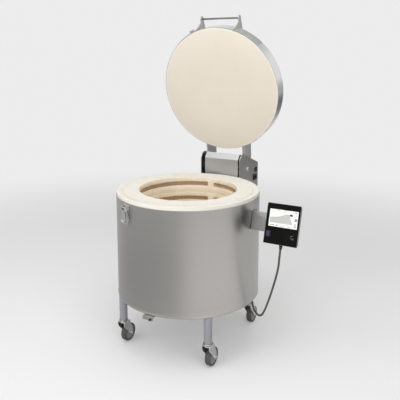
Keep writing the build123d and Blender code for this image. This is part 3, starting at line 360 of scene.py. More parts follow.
def tube(path, radius, sides, up=(0, 0, 1)):
    # a circle carried along a path: its plane is square to the path, with "up" fixing its turn
    path = np.asarray(path, float)
    ahead = np.gradient(path, axis=0)
    ahead /= np.linalg.norm(ahead, axis=1, keepdims=True)
    side = np.cross(ahead, up)
    side /= np.linalg.norm(side, axis=1, keepdims=True)
    over = np.cross(side, ahead)
    angle = np.linspace(0, 2 * math.pi, sides, endpoint=False)
    ring = np.cos(angle)[None, :, None] * side[:, None] + np.sin(angle)[None, :, None] * over[:, None]
    verts, faces = surface(path[:, None] + ring * radius, closeColumns=True)
    last = len(verts) - 1
    return verts, faces + [list(range(sides)), list(range(last, last - sides, -1))]


def walls(ring, count):
    # four-sided faces from a loop's points to the same points one level, "count" points, further on
    follow = np.roll(ring, -1)
    return np.stack([ring, follow, follow + count, ring + count], -1).tolist()


def prism(outline, low, high, place):
    # a flat outline carried from low to high along the third axis of "place"
    outline = np.asarray(outline, float)
    count = len(outline)
    ring = np.arange(count)
    ends = [place(outline[:, 0], outline[:, 1], np.full(count, float(level))) for level in (low, high)]
    return np.vstack(ends), walls(ring, count) + [ring[::-1].tolist(), (ring + count).tolist()]


def pierced(outline, holes, low, high, place):
    # a flat outline with holes, filled with triangles at both levels, and a wall round every loop
    loops = [np.asarray(loop, float) for loop in (outline, *holes)]
    flat = np.vstack(loops)
    caps = tessellate_polygon([[Vector((x, y, 0)) for x, y in loop] for loop in loops])
    count = len(flat)
    ends = [place(flat[:, 0], flat[:, 1], np.full(count, float(level))) for level in (low, high)]
    faces = [list(f) for f in caps] + [[i + count for i in f] for f in caps]
    start = 0
    for loop in loops:
        faces += walls(start + np.arange(len(loop)), count)
        start += len(loop)
    return np.vstack(ends), faces


def rounded(width, height, radius, steps, centre=(0, 0)):
    # a rectangle's outline with quarter circles at its corners
    quarter = np.linspace(0, math.pi / 2, steps)
    corners = []
    for turn, (sx, sy) in enumerate(((1, 1), (-1, 1), (-1, -1), (1, -1))):
        angle = quarter + turn * math.pi / 2
        corners.append(np.stack([
            centre[0] + sx * (width / 2 - radius) + radius * np.cos(angle),
            centre[1] + sy * (height / 2 - radius) + radius * np.sin(angle)], -1))
    return np.vstack(corners)


def smoothLoop(points, steps=6):
    # Catmull-Rom: each span blends four neighbouring points by cubics of its share t
    p = np.asarray(points, float)
    t = np.linspace(0, 1, steps, endpoint=False)[None, :, None]
    a, b, c, d = (np.roll(p, k, 0)[:, None, :] for k in (1, 0, -1, -2))
    spans = 0.5 * (2 * b + (c - a) * t + (2 * a - 5 * b + 4 * c - d) * t**2
                   + (3 * b - a - 3 * c + d) * t**3)
    return spans.reshape(-1, 2)


def buttonHead(origin, xAxis, yAxis, radius, height):
    # low domed screw head with a round recess: heights follow a quarter ellipse
    dome = [(radius * math.cos(t), height * math.sin(t)) for t in np.linspace(0, 1.25, 5)]
    recess = [(radius * 0.28, height * 0.93), (radius * 0.24, height * 0.45), (0, height * 0.42)]
    return turned([(radius * 0.98, -0.25)] + dome + recess, onAxes(origin, xAxis, yAxis), 14)


def hexHead(origin, xAxis, yAxis, across, height):
    # hexagon with its top corners turned off, on a thin washer
    place = onAxes(origin, xAxis, yAxis)
    corner = across / math.sqrt(3)
    head = [(corner, 0), (corner, height * 0.82), (corner * 0.86, height), (0, height)]
    washer = [(corner * 1.25, -0.2), (corner * 1.25, 0.7), (corner * 1.1, 0.9), (0, 0.9)]
    return [turned(head, place, 6), turned(washer, place, 24)]


def addPiece(name, shapes, material, body, replaced, slot, bevel=None, sharp=32):
    # joins shapes in millimetres into one mesh in metres that rides on a body
    verts, faces, offset = [], [], 0
    for shapeVerts, shapeFaces in shapes:
        verts.append(shapeVerts)
        faces += [[i + offset for i in face] for face in shapeFaces]
        offset += len(shapeVerts)
    mesh = bpy.data.meshes.new(name)
    mesh.from_pydata((np.vstack(verts) * 0.001).tolist(), [], faces)
    finishMesh(name, mesh, material, body, replaced, slot, bevel, sharp)


def addScrews(name, heads, body):
    # small turned fixings joined into one piece
    addPiece(name, heads, steelSmall, body, (), "steel_parts", sharp=40)


def finishMesh(name, mesh, material, body, replaced, slot, bevel, sharp):
    # merged, turned outwards, smooth up to the sharp angle, with edges rounded by bevel millimetres
    work = bmesh.new()
    work.from_mesh(mesh)
    bmesh.ops.remove_doubles(work, verts=work.verts, dist=1e-6)
    bmesh.ops.recalc_face_normals(work, faces=work.faces)
    work.to_mesh(mesh)
    work.free()
    mesh.shade_smooth()
    mesh.set_sharp_from_angle(angle=math.radians(sharp))
    mesh.materials.append(material)
    piece = bpy.data.objects.new(name, mesh)
    scene.collection.objects.link(piece)
    if bevel:
        rounding = piece.modifiers.new("rounded edges", "BEVEL")
        rounding.width = bevel * 0.001
        rounding.segments = 2
        rounding.limit_method = "ANGLE"
        rounding.angle_limit = math.radians(30)
        rounding.harden_normals = True
    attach(piece, body)
    if replaced:
        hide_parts(*replaced)


def dressNode(node, material, bevel):
    # a copy of the CAD node's shape, merged and with rounded edges, stands for the node
    mesh = nodes[node].data.copy()
    mesh.materials.clear()
    finishMesh(f"{node}_finished", mesh, material, nodes[node]["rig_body"], [node], None, bevel, 32)


# Casing: a rolled sheet with a hem at its lower edge and a turned upper edge
casing = {"steps": 288, "hem": 1.2}
outer, inner = kiln["casing"], kiln["casingInner"]
low, high = kiln["bottom"], kiln["steelTop"]
hemOut = outer + casing["hem"]
casingProfile = [
    (inner, high - 60), (inner, high - 1), (inner + 0.4, high - 0.2), (inner + 0.9, high),
    (outer - 0.3, high - 0.1), (outer, high - 0.7), (outer, high - 3), (outer, low + 30),
    (outer, low + 7.2), (outer + 0.3, low + 6.4), (hemOut - 0.2, low + 5.6), (hemOut, low + 4.6),
    (hemOut, low + 1.2), (hemOut - 0.5, low + 0.3), (outer, low), (inner, low), (inner, low + 40),
]
addPiece("casing_shell", [lathe(casingProfile, onKiln, casing["steps"])], steelBody, "kiln", ["casing"],
         "stainless_sheet", sharp=50)
print("casing made")

# Fibre ring between the bricks and the casing: round outside, the bricks' straight sides inside
ring = {"outer": 298.15, "gap": 0.3, "shown": 60.0, "round": 1.6, "steps": 360}
angle = np.linspace(0, 2 * math.pi, ring["steps"], endpoint=False)
outside = np.full_like(angle, ring["outer"])
inside = (kiln["brickBack"] + ring["gap"]) * (1 / np.cos(fromFacet(angle)))
top, soft = kiln["rim"], ring["round"]
fibreRows = [
    (outside, top - ring["shown"]), (outside, top - soft), (outside - soft * 0.3, top - soft * 0.3),
    (outside - soft, top - 0.02), (inside + 0.8, top - 0.02), (inside, top - 0.8),
    (inside, top - ring["shown"]),
]
fibreGrid = np.stack([onKiln(r * np.cos(angle), r * np.sin(angle), z) for r, z in fibreRows], 1)
addPiece("backup_ring", [surface(fibreGrid, closeRows=True)], rimBrick, "kiln", ["backup_insulation"],
         "insulating_fibre", sharp=60)

# Brick courses: the section of a course is carried round the lining's sides, with a fine joint
# at each corner; the groove stops on both sides of the plain bridge at the back
bricks = {"samples": 6, "joint": 0.2, "jointDepth": 0.06, "edge": 0.12, "lip": 2.0, "back": 40.0,
          "rimGap": 0.35, "slab": 10.0, "slabJoint": 0.25}
grooveRows = slice(4, 17)  # the groove's rows of a course's section


def brickSection(level, bottom, topZ, depth):
    # (distance behind the wall's face, height): face, groove with rounded lips, face
    e, lip, half = bricks["edge"], bricks["lip"], kiln["grooveHeight"] / 2
    groove = [
        (0.0, level + half + lip), (0.6, level + half + 0.8), (2.4, level + half),
        (depth - 3, level + half - 0.5), (depth - 0.6, level + half - 2.5), (depth, level + half - 6),
        (depth, level - half + 6), (depth - 0.6, level - half + 2.5), (depth - 3, level - half + 0.4),
        (4.5, level - half), (2.0, level - half - 0.3), (0.4, level - half - 1.0),
        (0.0, level - half - lip),
    ]
    if depth == 0:
        groove = [(0.0, z) for _, z in groove]
    upper = [(bricks["back"], topZ), (e, topZ), (e * 0.3, topZ - e * 0.3), (0.0, topZ - e)]
    lower = [(0.0, bottom + e), (e * 0.3, bottom + e * 0.3), (e, bottom), (bricks["back"], bottom)]
    return np.array(upper + groove + lower)


def wallStrip(angles, section):
    # the section at each angle: radius = (wall + distance behind it) / cos(angle from the side's
    # middle), with the wall pushed back a little beside each corner
    turn = fromFacet(angles)
    edgeDistance = (facet / 2 - np.abs(turn)) * kiln["chamber"]
    jointDip = bricks["jointDepth"] * np.clip(1 - edgeDistance / bricks["joint"], 0, 1)
    behind = section[:, 0][None, :] + jointDip[:, None] * (section[:, 0] < bricks["back"])[None, :]
    radius = (kiln["chamber"] + behind) / np.cos(turn)[:, None]
    height = np.broadcast_to(section[:, 1][None, :], radius.shape)
    return surface(onKiln(radius * np.cos(angles)[:, None], radius * np.sin(angles)[:, None], height),
                   closeColumns=True)


def endWall(angle, deep, flat):
    # closes the groove at an angle: from the deep section's points to the flat one's, by the same formula
    rows = []
    for section in (deep, flat):
        radius = (kiln["chamber"] + section[:, 0]) / math.cos(fromFacet(angle))
        rows.append(onKiln(radius * math.cos(angle), radius * math.sin(angle), section[:, 1]))
    return surface(np.stack(rows, 0))


brickCorners = np.arange(kiln["facets"]) * facet + math.pi / 2 - facet / 2
jointHalf = bricks["joint"] / kiln["chamber"]
around = np.concatenate([np.linspace(c + jointHalf, c + facet - jointHalf, bricks["samples"])
                         for c in brickCorners] + [brickCorners])
around = np.sort(np.mod(around - math.pi / 2, 2 * math.pi)) + math.pi / 2
bridgeHalf = math.atan2(kiln["bridge"] / 2, kiln["chamber"])
grooveFrom, grooveTo = math.pi / 2 + bridgeHalf, math.pi / 2 + 2 * math.pi - bridgeHalf
opening = around[(around > grooveFrom) & (around < grooveTo)]
grooveAngles = np.concatenate([[grooveFrom], opening, [grooveTo]])
bridgeAngles = np.linspace(grooveTo, grooveFrom + 2 * math.pi, 5)
grooveLevels = [kiln["hearth"] + (course + 1) * kiln["course"] - kiln["grooveDrop"]
                for course in range(kiln["courses"])]
for course, level in enumerate(grooveLevels):
    bottom = kiln["hearth"] + course * kiln["course"]
    topZ = bottom + kiln["course"]
    if course == kiln["courses"] - 1:
        topZ -= bricks["rimGap"]  # the rim's slabs lie on this course
    deep = brickSection(level, bottom, topZ, kiln["grooveDepth"])
    flat = brickSection(level, bottom, topZ, 0.0)
    strips = [wallStrip(grooveAngles, deep), wallStrip(bridgeAngles, flat)]
    strips += [endWall(end, deep[grooveRows], flat[grooveRows]) for end in (grooveFrom, grooveTo)]
    addPiece(f"wall_course_{course + 1}", strips, wallBrick, "kiln", [f"brick_course_{course + 1}"],
             "insulating_brick", sharp=40)
print("lining made")

# Top face of the brick wall: one slab for each brick, with its joints open
slabs = []
inset = (kiln["chamber"] + bricks["edge"]) / math.cos(facet / 2)
backReach = kiln["brickBack"] / math.cos(facet / 2)
slabGap = bricks["slabJoint"] / kiln["chamber"]
for start in brickCorners:
    a, b = start + slabGap, start + facet - slabGap
    outline = [(r * math.cos(t), r * math.sin(t))
               for r, t in ((inset, a), (inset, b), (backReach, b), (backReach, a))]
    slabs.append(prism(outline, kiln["rim"] - bricks["slab"], kiln["rim"], onKiln))
addPiece("rim_bricks", slabs, rimBrick, "kiln", (), "insulating_brick", bevel=0.6)

# Heating coils: a helix of wire wound round a ring; radius and height of the wire's centre are
# ring + coil * (cos, sin) of the winding angle. Two straight leads go out beside the bridge.
coil = {"track": 218.0, "radius": 8.0, "wire": 1.0, "pitch": 6.5, "perTurn": 10, "sides": 5, "rest": 9.2,
        "clear": 5, "leadWire": 2.6, "leadBeside": 13, "leadStops": (0, 30, 60, 104)}
span = 2 * math.pi - 2 * math.atan2(kiln["bridge"] / 2 + coil["clear"], coil["track"])
turns = int(span * coil["track"] / coil["pitch"])
share = np.linspace(0, 1, turns * coil["perTurn"] + 1)
along = math.pi / 2 + (2 * math.pi - span) / 2 + share * span
winding = share * turns * 2 * math.pi
radius = coil["track"] / np.cos(fromFacet(along)) + coil["radius"] * np.cos(winding)
coilShapes = []
for level in grooveLevels:
    middle = level - kiln["grooveHeight"] / 2 + coil["rest"]
    path = onKiln(radius * np.cos(along), radius * np.sin(along), middle + coil["radius"] * np.sin(winding))
    coilShapes.append(tube(path, coil["wire"], coil["sides"], up=(0.13, 0.21, 1.0)))
    for side in (-1, 1):
        leadX = side * (kiln["bridge"] / 2 + coil["leadBeside"])
        lead = [(leadX, coil["track"] + stop, level) for stop in coil["leadStops"]]
        coilShapes.append(tube(lead, coil["leadWire"], 8))
addPiece("element_coils", coilShapes, coilWire, "kiln", ["heating_coils"], "element_wire", sharp=60)
print("coils made")

# Lid: brick disc, band and cover, all in lid coordinates
brickR = lid["radius"] - lid["band"] - lid["gap"]
lidTop = lid["brick"] + lid["gap"] + lid["cover"]
pole = 0.0003  # a profile that starts or ends here closes at the lid's middle
discProfile = [
    (pole, 0), (brickR * 0.5, 0), (brickR - 1.4, 0), (brickR - 0.4, 0.4), (brickR, 1.4),
    (brickR, lid["brick"]), (brickR * 0.5, lid["brick"]), (pole, lid["brick"]),
]
outR, inR = lid["radius"], lid["radius"] - lid["band"]
bandProfile = [
    (inR, 0.2), (inR + 0.5, 0), (outR - 0.2, 0.1), (outR, 0.6), (outR, 6), (outR, lidTop - 6),
    (outR, lidTop - 0.6), (outR - 0.3, lidTop), (inR, lidTop), (inR, 30),
]
coverProfile = [(pole, lidTop), (brickR * 0.5, lidTop), (brickR - 0.3, lidTop), (brickR, lidTop - 0.3),
                (brickR, lidTop - 1.4)]
lidLook = {"strip": 0.114, "brickLength": 0.19, "joint": 0.0011, "highlightFrom": 0.274, "highlightTo": 0.279}


def lidBrickRecipe(place):
    # firebrick with a faint grid of joints, laid along the lid's own axes, and a pale ring by its edge that
    # is a painted highlight
    flat = place.stretched((1, 1, 1), (openAngle, 0, 0))
    grid = flat.node("ShaderNodeTexBrick", {"offset": 0.5},
                     {"Vector": flat, "Scale": 1.0, "Mortar Size": lidLook["joint"], "Mortar Smooth": 0.6,
                      "Brick Width": lidLook["brickLength"], "Row Height": lidLook["strip"]}, 1)
    looks = brickRecipe((0.8, 0.735, 0.63), (0.785, 0.72, 0.61), 0.3)(place)
    jointed = (grid * 0.2).blendTo(looks["Base Color"], (0.7, 0.62, 0.5))
    # painted highlight: the face's colour turns half way to a pale tone in a thin ring by its edge
    centre = (0, *(float(lidOrigin @ axis) * 0.001 for axis in (lidY, lidZ)))
    reach = flat.vector("SUBTRACT", centre, "Vector").vector("LENGTH")
    edge = reach.between(lidLook["highlightFrom"], lidLook["highlightTo"]) * 0.5
    looks["Base Color"] = edge.blendTo(jointed, (0.9, 0.87, 0.79))
    height, strength, depth = looks["Bump"]
    looks["Bump"] = (height - grid * 0.5, strength, depth)
    return looks


lidFace = newMaterial("lid firebrick", lidBrickRecipe)
for name, profile, material, node, slot, sharp in (
        ("lid_brick_disc", discProfile, lidFace, "lid_bricks", "insulating_brick", 32),
        ("lid_band_ring", bandProfile, steelLid, "lid_band", "stainless_sheet", 50),
        ("lid_cover_disc", coverProfile, steelLid, "lid_cover", "stainless_sheet", 50)):
    addPiece(name, [lathe(profile, onLid, lid["steps"])], material, "lid", [node], slot, sharp=sharp)

# Bracket straps: the rails' foot strips run on round the band on both sides of the handle
strap = {"from": 27.5, "to": 44.0, "low": 6.0, "high": 60.0, "sheet": 2.8, "gap": 0.15}
strapIn, strapOut = lid["radius"] + strap["gap"], lid["radius"] + strap["sheet"]
strapSection = [(strapIn, strap["low"]), (strapOut, strap["low"]), (strapOut, strap["high"]),
                (strapIn, strap["high"])]
strapShapes = []
for side in (-1, 1):
    sweep = np.radians(np.linspace(strap["from"], strap["to"], 13)) * side - math.pi / 2
    rows = [onLid(r * np.cos(sweep), r * np.sin(sweep), np.full(len(sweep), h)) for r, h in strapSection]
    verts, faces = surface(np.stack(rows, 1), closeColumns=True)
    last = len(verts)
    strapShapes.append((verts, faces + [[3, 2, 1, 0], list(range(last - 4, last))]))
addPiece("bracket_straps", strapShapes, bracketMetal, "lid", (), "steel_parts", bevel=0.4)
print("lid made")

# CAD shapes that keep their form get rounded edges and a finish
for node, material, bevel in (
        ("lid_rail_left", bracketMetal, 0.5), ("lid_rail_right", bracketMetal, 0.5),
        ("handle_rod", rodSteel, 0.6), ("lid_keeper", zincPlate, 0.3),
        ("hinge_plate_left", steelPlate, 0.3), ("hinge_plate_right", steelPlate, 0.3),
        ("hinge_cover", steelCover, 0.2), ("rear_cover", steelPlate, 0.2),
        ("housing_floor", steelPlate, 0.3), ("hinge_frame", zincPlate, 0.5),
        ("controller_holder", steelHolderShaded, 0.4), ("latch_base", zincPlate, 0.25),
        ("latch_lever", steelSmall, 0.25), ("controller_back", casePlastic, 1.2),
        ("controller_socket", blackPlastic, 0.5), ("mains_rocker", blackPlastic, 0.5),
        ("switch_frame", blackPlastic, 0.5), ("mains_gland", blackPlastic, 0.6),
        ("air_slide", slideSteel, 0.4), ("air_guides", zincPlate, 0.3), ("power_relay", finMetal, 0.4),
        ("data_port_flap", flapPlastic, 0.4), ("base_plate", zincPlate, 0.4),
        ("thermocouple", ceramicTube, 0.6), ("leg_front_left", legPaint, 0.6),
        ("leg_front_right", legPaint, 0.6), ("leg_rear_left", legPaint, 0.6),
        ("leg_rear_right", legPaint, 0.6)):
    dressNode(node, material, bevel)
for node, material in (
        ("floor_insulation", floorFibre), ("hearth_bricks", wallBrick), ("lead_sleeves", ceramicTube),
        ("hinge_bushes", bronze), ("latch_bail", steelSmall)):
    nodes[node].data.materials.clear()
    nodes[node].data.materials.append(material)
print("fittings dressed")

# Casters: ball race, bowed fork, bolt, and a wheel of tread and hub; a profile's points are
# (radius, place along the axis)
caster = {"wheel": 37.5, "trail": 30.0, "forkIn": 14.5, "sheet": 2.5, "bore": 4.2, "legInset": 16.0,
          "bolt": 3.9, "boltHead": 12.5, "boltHeight": 5.0, "ribs": 6, "ribHalf": 9.3}
treadProfile = [
    (29.0, -10.2), (30.2, -11.2), (33.4, -11.9), (35.6, -11.2), (36.9, -9.0), (37.4, -5.0), (37.5, 0),
    (37.4, 5.0), (36.9, 9.0), (35.6, 11.2), (33.4, 11.9), (30.2, 11.2), (29.0, 10.2), (28.2, 8.0),
    (28.2, -8.0),
]
hubFace = [(28.9, -9.6), (26.0, -10.4), (24.5, -9.2), (14.5, -7.6), (12.6, -8.6), (11.0, -11.6),
           (9.4, -12.0), (6.0, -12.0), (caster["bore"], -11.6)]
hubProfile = hubFace + [(r, -h) for r, h in reversed(hubFace)]
ribOutline = np.array([(13.5, -1.0), (25.0, -1.3), (25.0, 1.3), (13.5, 1.0)])
crownProfile = [(5.2, 99.0), (19.6, 98.4), (20.6, 99.6), (19.6, 101.6), (13.0, 103.4), (5.2, 103.6)]
raceProfile = [(5.2, 103.7), (17.2, 103.7), (18.4, 104.0), (19.6, 104.6), (20.2, 105.6), (20.2, 106.8),
               (19.4, 107.5), (5.2, 107.6)]
kingPinProfile = [(5.2, 93.4), (14.0, 93.4), (15.0, 94.0), (15.6, 96.0), (15.0, 98.4), (5.2, 98.4)]
legReach = (kiln["casing"] - caster["legInset"]) * math.sin(math.radians(45))
forkOut = caster["forkIn"] + caster["sheet"]
boltProfile = [(0, -forkOut), (caster["bolt"], -forkOut), (caster["bolt"], forkOut), (0, forkOut)]


def turnedRib(angle):
    # the rib's outline turned by an angle: (x cos a - y sin a, x sin a + y cos a)
    cosine, sine = math.cos(angle), math.sin(angle)
    return ribOutline @ np.array([[cosine, sine], [-sine, cosine]])


def makeCaster(x0, y0, place):
    # turned tread, hub and race; two bowed cheeks, each a smooth loop carried through the sheet
    hubY, hubZ = y0 + caster["trail"], caster["wheel"]
    alongAxle = onAxes((x0, hubY, hubZ), yDir, zDir)  # third axis runs along +X
    upright = onAxes((x0, y0, 0), xDir, yDir)
    addPiece(f"tyre_{place}", [lathe(treadProfile, alongAxle, 72)], tyreRubber, f"wheel_{place}",
             [f"caster_wheel_{place}"], "caster_tread", sharp=50)
    ribs = [prism(turnedRib(angle), -caster["ribHalf"], caster["ribHalf"], alongAxle)
            for angle in np.arange(caster["ribs"]) * 2 * math.pi / caster["ribs"] + 0.3]
    addPiece(f"hub_{place}", [lathe(hubProfile, alongAxle, 48)] + ribs, hubPlastic, f"wheel_{place}", (),
             "caster_tread", sharp=35)
    cheek = smoothLoop([
        (hubY - 9.5, hubZ - 2), (hubY, hubZ - 9.8), (hubY + 9.5, hubZ - 1), (hubY + 8.5, hubZ + 22),
        (y0 + 26, 84), (y0 + 22.5, 98.0), (y0 + 8, 103.0), (y0 - 8, 103.0), (y0 - 18.5, 98.5),
        (y0 - 19.5, 90), (y0 - 13, 76), (y0 + 4, 58)])
    cheeks = [prism(cheek, side * caster["forkIn"], side * forkOut, onAxes((x0, 0, 0), yDir, zDir))
              for side in (-1, 1)]
    addPiece(f"fork_{place}", cheeks + [lathe(crownProfile, upright, 48)], zincPlate, f"fork_{place}",
             [f"caster_fork_{place}"], "zinc_steel", bevel=0.5)
    steel = [lathe(raceProfile, upright, 48), lathe(kingPinProfile, upright, 40)]
    for x, axes in ((x0 + forkOut, (yDir, zDir)), (x0 - forkOut, (zDir, yDir))):
        steel += hexHead((x, hubY, hubZ), *axes, caster["boltHead"], caster["boltHeight"])
    steel.append(turned(boltProfile, alongAxle, 20))
    addPiece(f"race_{place}", steel, steelSmall, f"fork_{place}", (), "zinc_steel", sharp=35)


for front, nameY in ((-1, "front"), (1, "rear")):
    for side, nameX in ((-1, "left"), (1, "right")):
        makeCaster(side * legReach, front * legReach, f"{nameY}_{nameX}")
print("casters made")

# Hinge: shaft with domed nuts outside the plates, and two torsion springs wound round it
hinge = {"plateOut": 101.0, "shaft": 8.0, "springEnd": 73.0, "springLength": 44.0,
         "springRadius": 14.2, "springWire": 2.6, "turns": 8, "perTurn": 20}
alongShaft = onAxes(hingePin, yDir, zDir)
reach = hinge["plateOut"] + 0.3
cap = [(11.0, reach), (11.0, reach + 1.6), (9.6, reach + 2.0), (9.2, reach + 4.2), (7.6, reach + 5.6),
       (4.0, reach + 6.2), (0.02, reach + 6.3)]
shaftLine = [(r, -h) for r, h in reversed(cap)] + [(hinge["shaft"], -reach), (hinge["shaft"], reach)] + cap
addPiece("shaft_and_nuts", [lathe(shaftLine, alongShaft, 48)], steelSmall, "kiln", ["hinge_shaft"],
         "steel_parts")
share = np.linspace(0, 1, hinge["turns"] * hinge["perTurn"] + 1)
wind = share * hinge["turns"] * 2 * math.pi
springX, springY = hinge["springRadius"] * np.cos(wind), hinge["springRadius"] * np.sin(wind)
springShapes = []
for side in (-1, 1):
    path = alongShaft(springX, springY, side * (hinge["springEnd"] - share * hinge["springLength"]))
    springShapes.append(tube(path, hinge["springWire"], 8, up=(0.2, 1.0, 0.1)))
addPiece("torsion_springs", springShapes, zincPlate, "kiln", ["hinge_springs"], "steel_parts", sharp=60)

# Housing screws, each with two axes in its surface whose cross product points outwards
housing = {
    "coverScrew": (72.0, 324.0, 739.2),
    "coverSlope": (0.0, 20.0, 24.5),
    "plateScrews": ((466, 667), (508, 600), (508, 480), (508, 330), (320, 600), (320, 330), (410, 268)),
    "rearScrew": (93.0, 521.75),
    "rearHeights": (650.0, 560.0, 440.0, 330.0, 255.0),
}
screws = []
for side in (-1, 1):
    x, y, z = housing["coverScrew"]
    screws.append(buttonHead((side * x, y, z), xDir, housing["coverSlope"], 3.6, 1.9))
for side in (-1, 1):
    outwards = (yDir, zDir) if side > 0 else (zDir, yDir)
    for y, z in housing["plateScrews"]:
        screws.append(buttonHead((side * hinge["plateOut"], y, z), *outwards, 3.0, 1.6))
    x, y = housing["rearScrew"]
    for z in housing["rearHeights"]:
        screws.append(buttonHead((side * x, y, z), (-1, 0, 0), zDir, 3.2, 1.8))
addScrews("housing_screws", screws, "kiln")

# Latch rivets
latch = {"beside": 117.2, "height": 623.0, "sheet": 2.3,
         "rivets": ((-13, 9.5), (13, 9.5), (-13, -45), (13, -45))}
latchTurn = math.asin(latch["beside"] / kiln["casing"])
latchOut = np.array([-math.sin(latchTurn), -math.cos(latchTurn), 0.0])
latchAcross = np.array([math.cos(latchTurn), -math.sin(latchTurn), 0.0])
latchCentre = latchOut * (kiln["casing"] + latch["sheet"]) + np.array([0, 0, latch["height"]])
rivets = [buttonHead(latchCentre + latchAcross * x + np.array([0, 0, z]), latchAcross, zDir, 2.6, 1.4)
          for x, z in latch["rivets"]]
addScrews("latch_rivets", rivets, "kiln")

# Air slide's knob: a black cap on the CAD knob's pin
slide = {"front": kiln["casing"] + 17.0, "knobX": 14.0, "knobZ": 211.2}
alongKnob = onAxes((slide["knobX"], -slide["front"], slide["knobZ"]), xDir, zDir)
knobProfile = [(0, 2.0), (4.7, 2.0), (5.0, 2.6), (5.4, 6.0), (5.0, 7.0), (3.6, 7.5), (0, 7.6)]
addPiece("slide_knob_cap", [turned(knobProfile, alongKnob, 24)], blackPlastic, "air_slide", (),
         "black_plastic", sharp=40)

# Lid's back: screws round the cover's rim, clear of the rails, and through the rails' strips
lidScrew = {"circle": 272, "count": 12, "clearOfRails": 110, "stripAngles": (22.0, 26.0),
            "stripHeights": (20.0, 46.0), "stripSheet": 3.4}
lidScrews = []
for angle in (np.arange(lidScrew["count"]) + 0.5) * 2 * math.pi / lidScrew["count"]:
    x, y = lidScrew["circle"] * math.cos(angle), lidScrew["circle"] * math.sin(angle)
    if abs(x) > lidScrew["clearOfRails"]:
        lidScrews.append(buttonHead(onLid(x, y, lidTop), lidX, lidY, 3.6, 1.8))
for side in (-1, 1):
    for degrees in lidScrew["stripAngles"]:
        angle = math.radians(degrees) * side
        radial = lidX * math.sin(angle) - lidY * math.cos(angle)
        for height in lidScrew["stripHeights"]:
            centre = onLid(0, 0, height) + radial * (lid["radius"] + lidScrew["stripSheet"])
            lidScrews.append(buttonHead(centre, lidZ, np.cross(radial, lidZ), 3.0, 1.6))
addScrews("lid_screws", lidScrews, "lid")
print("fixings made")

# Controller: film panel in a thin metal edge; (x, y, width, height) from the panel's middle
panel = {"width": 134.0, "height": 155.0, "corner": 4.0, "edge": 1.3, "film": 0.3, "tilt": 18.0,
         "gap": 69.0, "front": -48.5, "middle": 575.0, "screen": (2.0, 22.0, 113.6, 66.6),
         "flap": (-50.5, -40.0, 17.6, 23.6)}
tilt = math.radians(panel["tilt"])
panelX = kiln["casing"] + panel["gap"] + panel["width"] / 2
onPanel = onAxes((panelX, panel["front"], panel["middle"]), xDir, (0.0, math.sin(tilt), math.cos(tilt)))
edge = panel["edge"]


def window(x, y, width, height, shrink=0.0):
    # a rectangle with small round corners, smaller by shrink all round
    return rounded(width - 2 * shrink, height - 2 * shrink, 0.6, 3, (x, y))


holes = [window(*panel["screen"]), window(*panel["flap"])]
panelOutline = rounded(panel["width"], panel["height"], panel["corner"], 7)
film = rounded(panel["width"] - 2 * edge, panel["height"] - 2 * edge, panel["corner"] - 1, 7)
addPiece("panel_edge", [pierced(panelOutline, [film], -5.0, -0.1, onPanel)], bezelMetal, "kiln",
         ["controller_front"], "panel", bevel=0.4)
addPiece("panel_body", [pierced(film, holes, -3.0, -panel["film"], onPanel),
                        prism(film, -4.8, -3.0, onPanel)], blackPlastic, "kiln", (), "panel")
addPiece("panel_film", [pierced(film, holes, -panel["film"], 0.0, onPanel)], panelGloss, "kiln", (),
         "panel", bevel=0.12)
addPiece("display_glass", [prism(window(*panel["screen"], 0.35), -1.0, -0.28, onPanel)], screenWhite,
         "kiln", ["controller_screen"], "display", bevel=0.1)

# A plain firing curve on the display: rise eases up to a level, holds and drops, over a grey field
firing = {"riseEnds": 0.68, "holdEnds": 0.84, "start": 0.42, "hold": 0.76, "power": 2.2, "fall": 4.4,
          "margins": (4, 22, 15, 7), "line": 0.45}
sx, sy, sw, sh = panel["screen"]
leftGap, rightGap, lowGap, highGap = firing["margins"]
left, right = sx - sw / 2 + leftGap, sx + sw / 2 - rightGap
low, high = sy - sh / 2 + lowGap, sy + sh / 2 - highGap
share = np.linspace(0, 1, 41)
hold, riseShare = firing["hold"], share / firing["riseEnds"]
rise = firing["start"] + (hold - firing["start"]) * riseShare ** firing["power"]
fall = hold - firing["fall"] * (share - firing["holdEnds"])
heat = np.where(riseShare < 1, rise, np.where(share < firing["holdEnds"], hold, fall))
curveX, curveY = left + share * (right - left), low + np.clip(heat, 0.1, 1) * (high - low)
field = np.vstack([np.stack([curveX, curveY], -1), [(right, low), (left, low)]])
line = np.vstack([np.stack([curveX, curveY + firing["line"]], -1),
                  np.stack([curveX, curveY - firing["line"]], -1)[::-1]])
display = {
    "marks": ((31, 38, 11, 7), (48, 50, 5, 3.5), (8, 51, 6, 1.2), (-20, 51, 6, 1.2), (51, 23, 8, 9),
              (50, 6, 7, 2.2), (50, -1.5, 7, 3), (-36, -5.5, 4.5, 3.2), (-22, -6, 4.5, 3),
              (0, -6.5, 16, 1), (26, -6.5, 12, 1), (52, 40, 3, 2), (46, 34, 3, 2)),
    "keys": ((51, 23, 3.2, 5), (-44, -5.5, 7.5, 4)),
    "signs": ((43, -37, 9, 0.9), (39.5, -40, 1.0, 6), (44, -47, 14, 0.9), (47, -50, 9, 0.9)),
}


def printed(kind, low, high):
    # thin raised rectangles, one for each mark of this kind
    return [prism(window(*mark), low, high, onPanel) for mark in display[kind]]


curveLine = [prism(line, -0.24, -0.14, onPanel)]
for name, shapes, material, slot in (
        ("display_field", [prism(field, -0.3, -0.2, onPanel)], screenGrey, "display"),
        ("display_marks", curveLine + printed("marks", -0.3, -0.18), screenInk, "display"),
        ("display_keys", printed("keys", -0.24, -0.12), screenGreen, "display"),
        ("panel_signs", printed("signs", 0.0, 0.12), signGrey, "panel")):
    addPiece(name, shapes, material, "kiln", (), slot)

# Strain reliefs: where the cable leaves the controller, and where it enters the base plate
gland = {"reach": 278.353, "angle": 12.76, "height": kiln["bottom"] - 0.3, "length": 12.0,
         "panelInset": 3.7, "panelDepth": -17.0, "panelLength": 20.0, "collar": 8.0, "ribs": 4}


